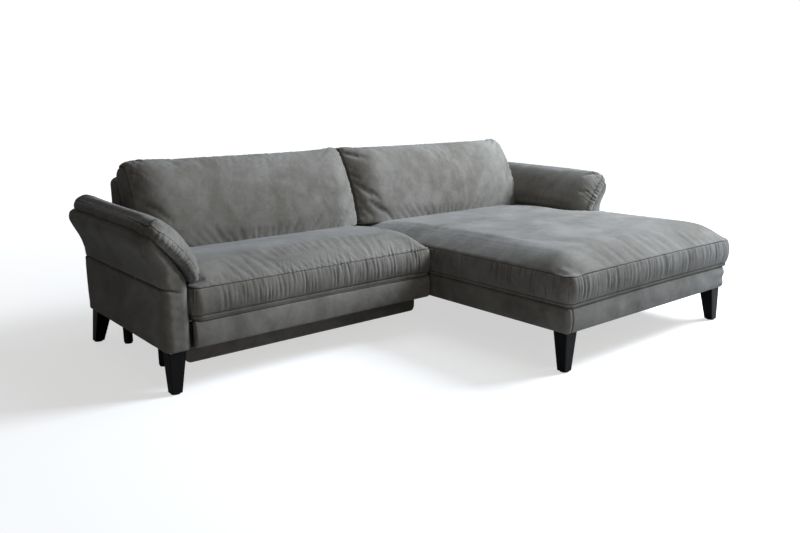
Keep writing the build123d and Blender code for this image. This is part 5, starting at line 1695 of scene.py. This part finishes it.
@dataclass
class Studio:
    """Pale floor, white surroundings, soft lights and the photograph's camera."""

    place: tuple[float, float, float] = (-2.358, -2.6585, 1.096)
    yaw: float = math.radians(39.61)
    pitch: float = math.radians(12.58)
    roll: float = math.radians(0.36)
    lens: float = 34.66
    floor_reach: float = 30.0

    def camera(self) -> None:
        """Sets the camera: forward from yaw and pitch, then turned about its own axis."""
        level = math.cos(self.pitch)
        forward = Vector((math.sin(self.yaw) * level, math.cos(self.yaw) * level,
                          -math.sin(self.pitch)))
        right = forward.cross(Vector((0, 0, 1))).normalized()
        up = right.cross(forward)
        turn = Matrix.Rotation(self.roll, 3, forward)
        right, up = turn @ right, turn @ up
        lens = bpy.data.cameras.new("camera")
        lens.lens, lens.sensor_width, lens.clip_end = self.lens, 36.0, 60.0
        camera = bpy.data.objects.new("camera", lens)
        axes = Matrix((right, up, -forward)).transposed().to_4x4()
        camera.matrix_world = Matrix.Translation(self.place) @ axes
        bpy.context.scene.collection.objects.link(camera)
        bpy.context.scene.camera = camera

    def light(self, lamp: Lamp) -> None:
        """Adds a square area light that faces a point."""
        data = bpy.data.lights.new(lamp.name, "AREA")
        data.shape, data.size = "SQUARE", lamp.size
        data.energy, data.color = lamp.power, shade(lamp.colour)[:3]
        lit = bpy.data.objects.new(lamp.name, data)
        lit.location = lamp.place
        view = Vector(lamp.aim) - Vector(lamp.place)
        lit.rotation_euler = view.to_track_quat("-Z", "Y").to_euler()
        bpy.context.scene.collection.objects.link(lit)

    def world(self) -> None:
        """Even pale world that is white to the camera, to gloss and through glass."""
        world = bpy.data.worlds.new("studio")
        bpy.context.scene.world = world
        world.use_nodes = True
        make = Nodes(world.node_tree)
        back = world.node_tree.nodes["Background"]
        path = make.add("LightPath")
        seen = make.maths("MAXIMUM", path.outputs["Is Camera Ray"], path.outputs["Is Glossy Ray"])
        seen = make.maths("MAXIMUM", seen, path.outputs["Is Transmission Ray"])
        make.put(back.inputs["Strength"], make.sharpen(seen, 0, 1, 0.06, 1.0))
        make.put(back.inputs["Color"], make.blend(seen, (1.0, 0.94, 0.87, 1), (1, 1, 1, 1)))

    def floor(self) -> None:
        """Large pale floor that keeps the shadow."""
        mesh = bpy.data.meshes.new("floor")
        r = self.floor_reach
        mesh.from_pydata([(-r, -r, 0), (r, -r, 0), (r, r, 0), (-r, r, 0)], [], [(0, 1, 2, 3)])
        floor = bpy.data.objects.new("floor", mesh)
        bpy.context.scene.collection.objects.link(floor)
        material = bpy.data.materials.new("pale_floor")
        material.use_nodes = True
        make = Nodes(material.node_tree)
        shader = material.node_tree.nodes["Principled BSDF"]
        place = make.add("TexCoord").outputs["Object"]
        greys = make.blend(make.noise(place, 0.5), (0.44, 0.44, 0.44, 1), (0.46, 0.46, 0.46, 1))
        make.put(shader.inputs["Base Color"], greys)
        shader.inputs["Roughness"].default_value = 0.9
        path = make.add("LightPath")
        shader.inputs["Emission Color"].default_value = (1, 1, 1, 1)
        away = make.add("VectorMath", {"Vector": place}, operation="LENGTH").outputs["Value"]
        glow = make.sharpen(away, 2.0, 6.0, 0.60, 1.0)
        seen = make.maths("MULTIPLY", path.outputs["Is Camera Ray"], glow)
        make.put(shader.inputs["Emission Strength"], seen)
        mesh.materials.append(material)

    def build(self) -> None:
        """Builds camera, floor, world and lights."""
        self.camera()
        self.floor()
        self.world()
        for lamp in LAMPS:
            self.light(lamp)
        bpy.context.scene.view_settings.view_transform = "Standard"


def main() -> None:
    """Builds the sofa piece by piece."""
    logging.basicConfig(level=logging.INFO, format="%(name)s %(message)s")
    Studio().build()
    palette = Palette()
    SeatCushion(palette).build()
    ChaiseCushion(palette).build()
    BackCushion(palette, Side.LEFT, low=PLAN.seat_left + 0.052, high=PLAN.join - 0.004, seed=100,
                low_end=(0.130, 0.100, 0.012), high_end=(0.135, 0.084, 0.018),
                corners=(0.085, 0.045), drops=(0.034, 0.014)).build()
    BackCushion(palette, Side.RIGHT, low=PLAN.join + 0.004, high=PLAN.chaise_right - 0.030,
                seed=200, low_end=(0.140, 0.084, 0.018), high_end=(0.190, 0.126, 0.022),
                corners=(0.045, 0.050), drops=(0.016, 0.012)).build()
    for side in Side:
        Arm(palette, side).build()
    Back(palette, "seat", foot=(PLAN.seat_left + 0.002, PLAN.join - 0.001),
         upper=(PLAN.seat_left + 0.050, PLAN.join - 0.001)).build()
    Back(palette, "chaise", foot=(PLAN.join + 0.001, PLAN.chaise_right - 0.002),
         upper=(PLAN.join + 0.001, PLAN.chaise_right - 0.050)).build()
    ChaiseWall(palette).build()
    Pullout(palette).build()
    FlatCloth(palette).build()
    HardParts(palette).build()
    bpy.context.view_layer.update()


if __name__ == "__main__":
    main()
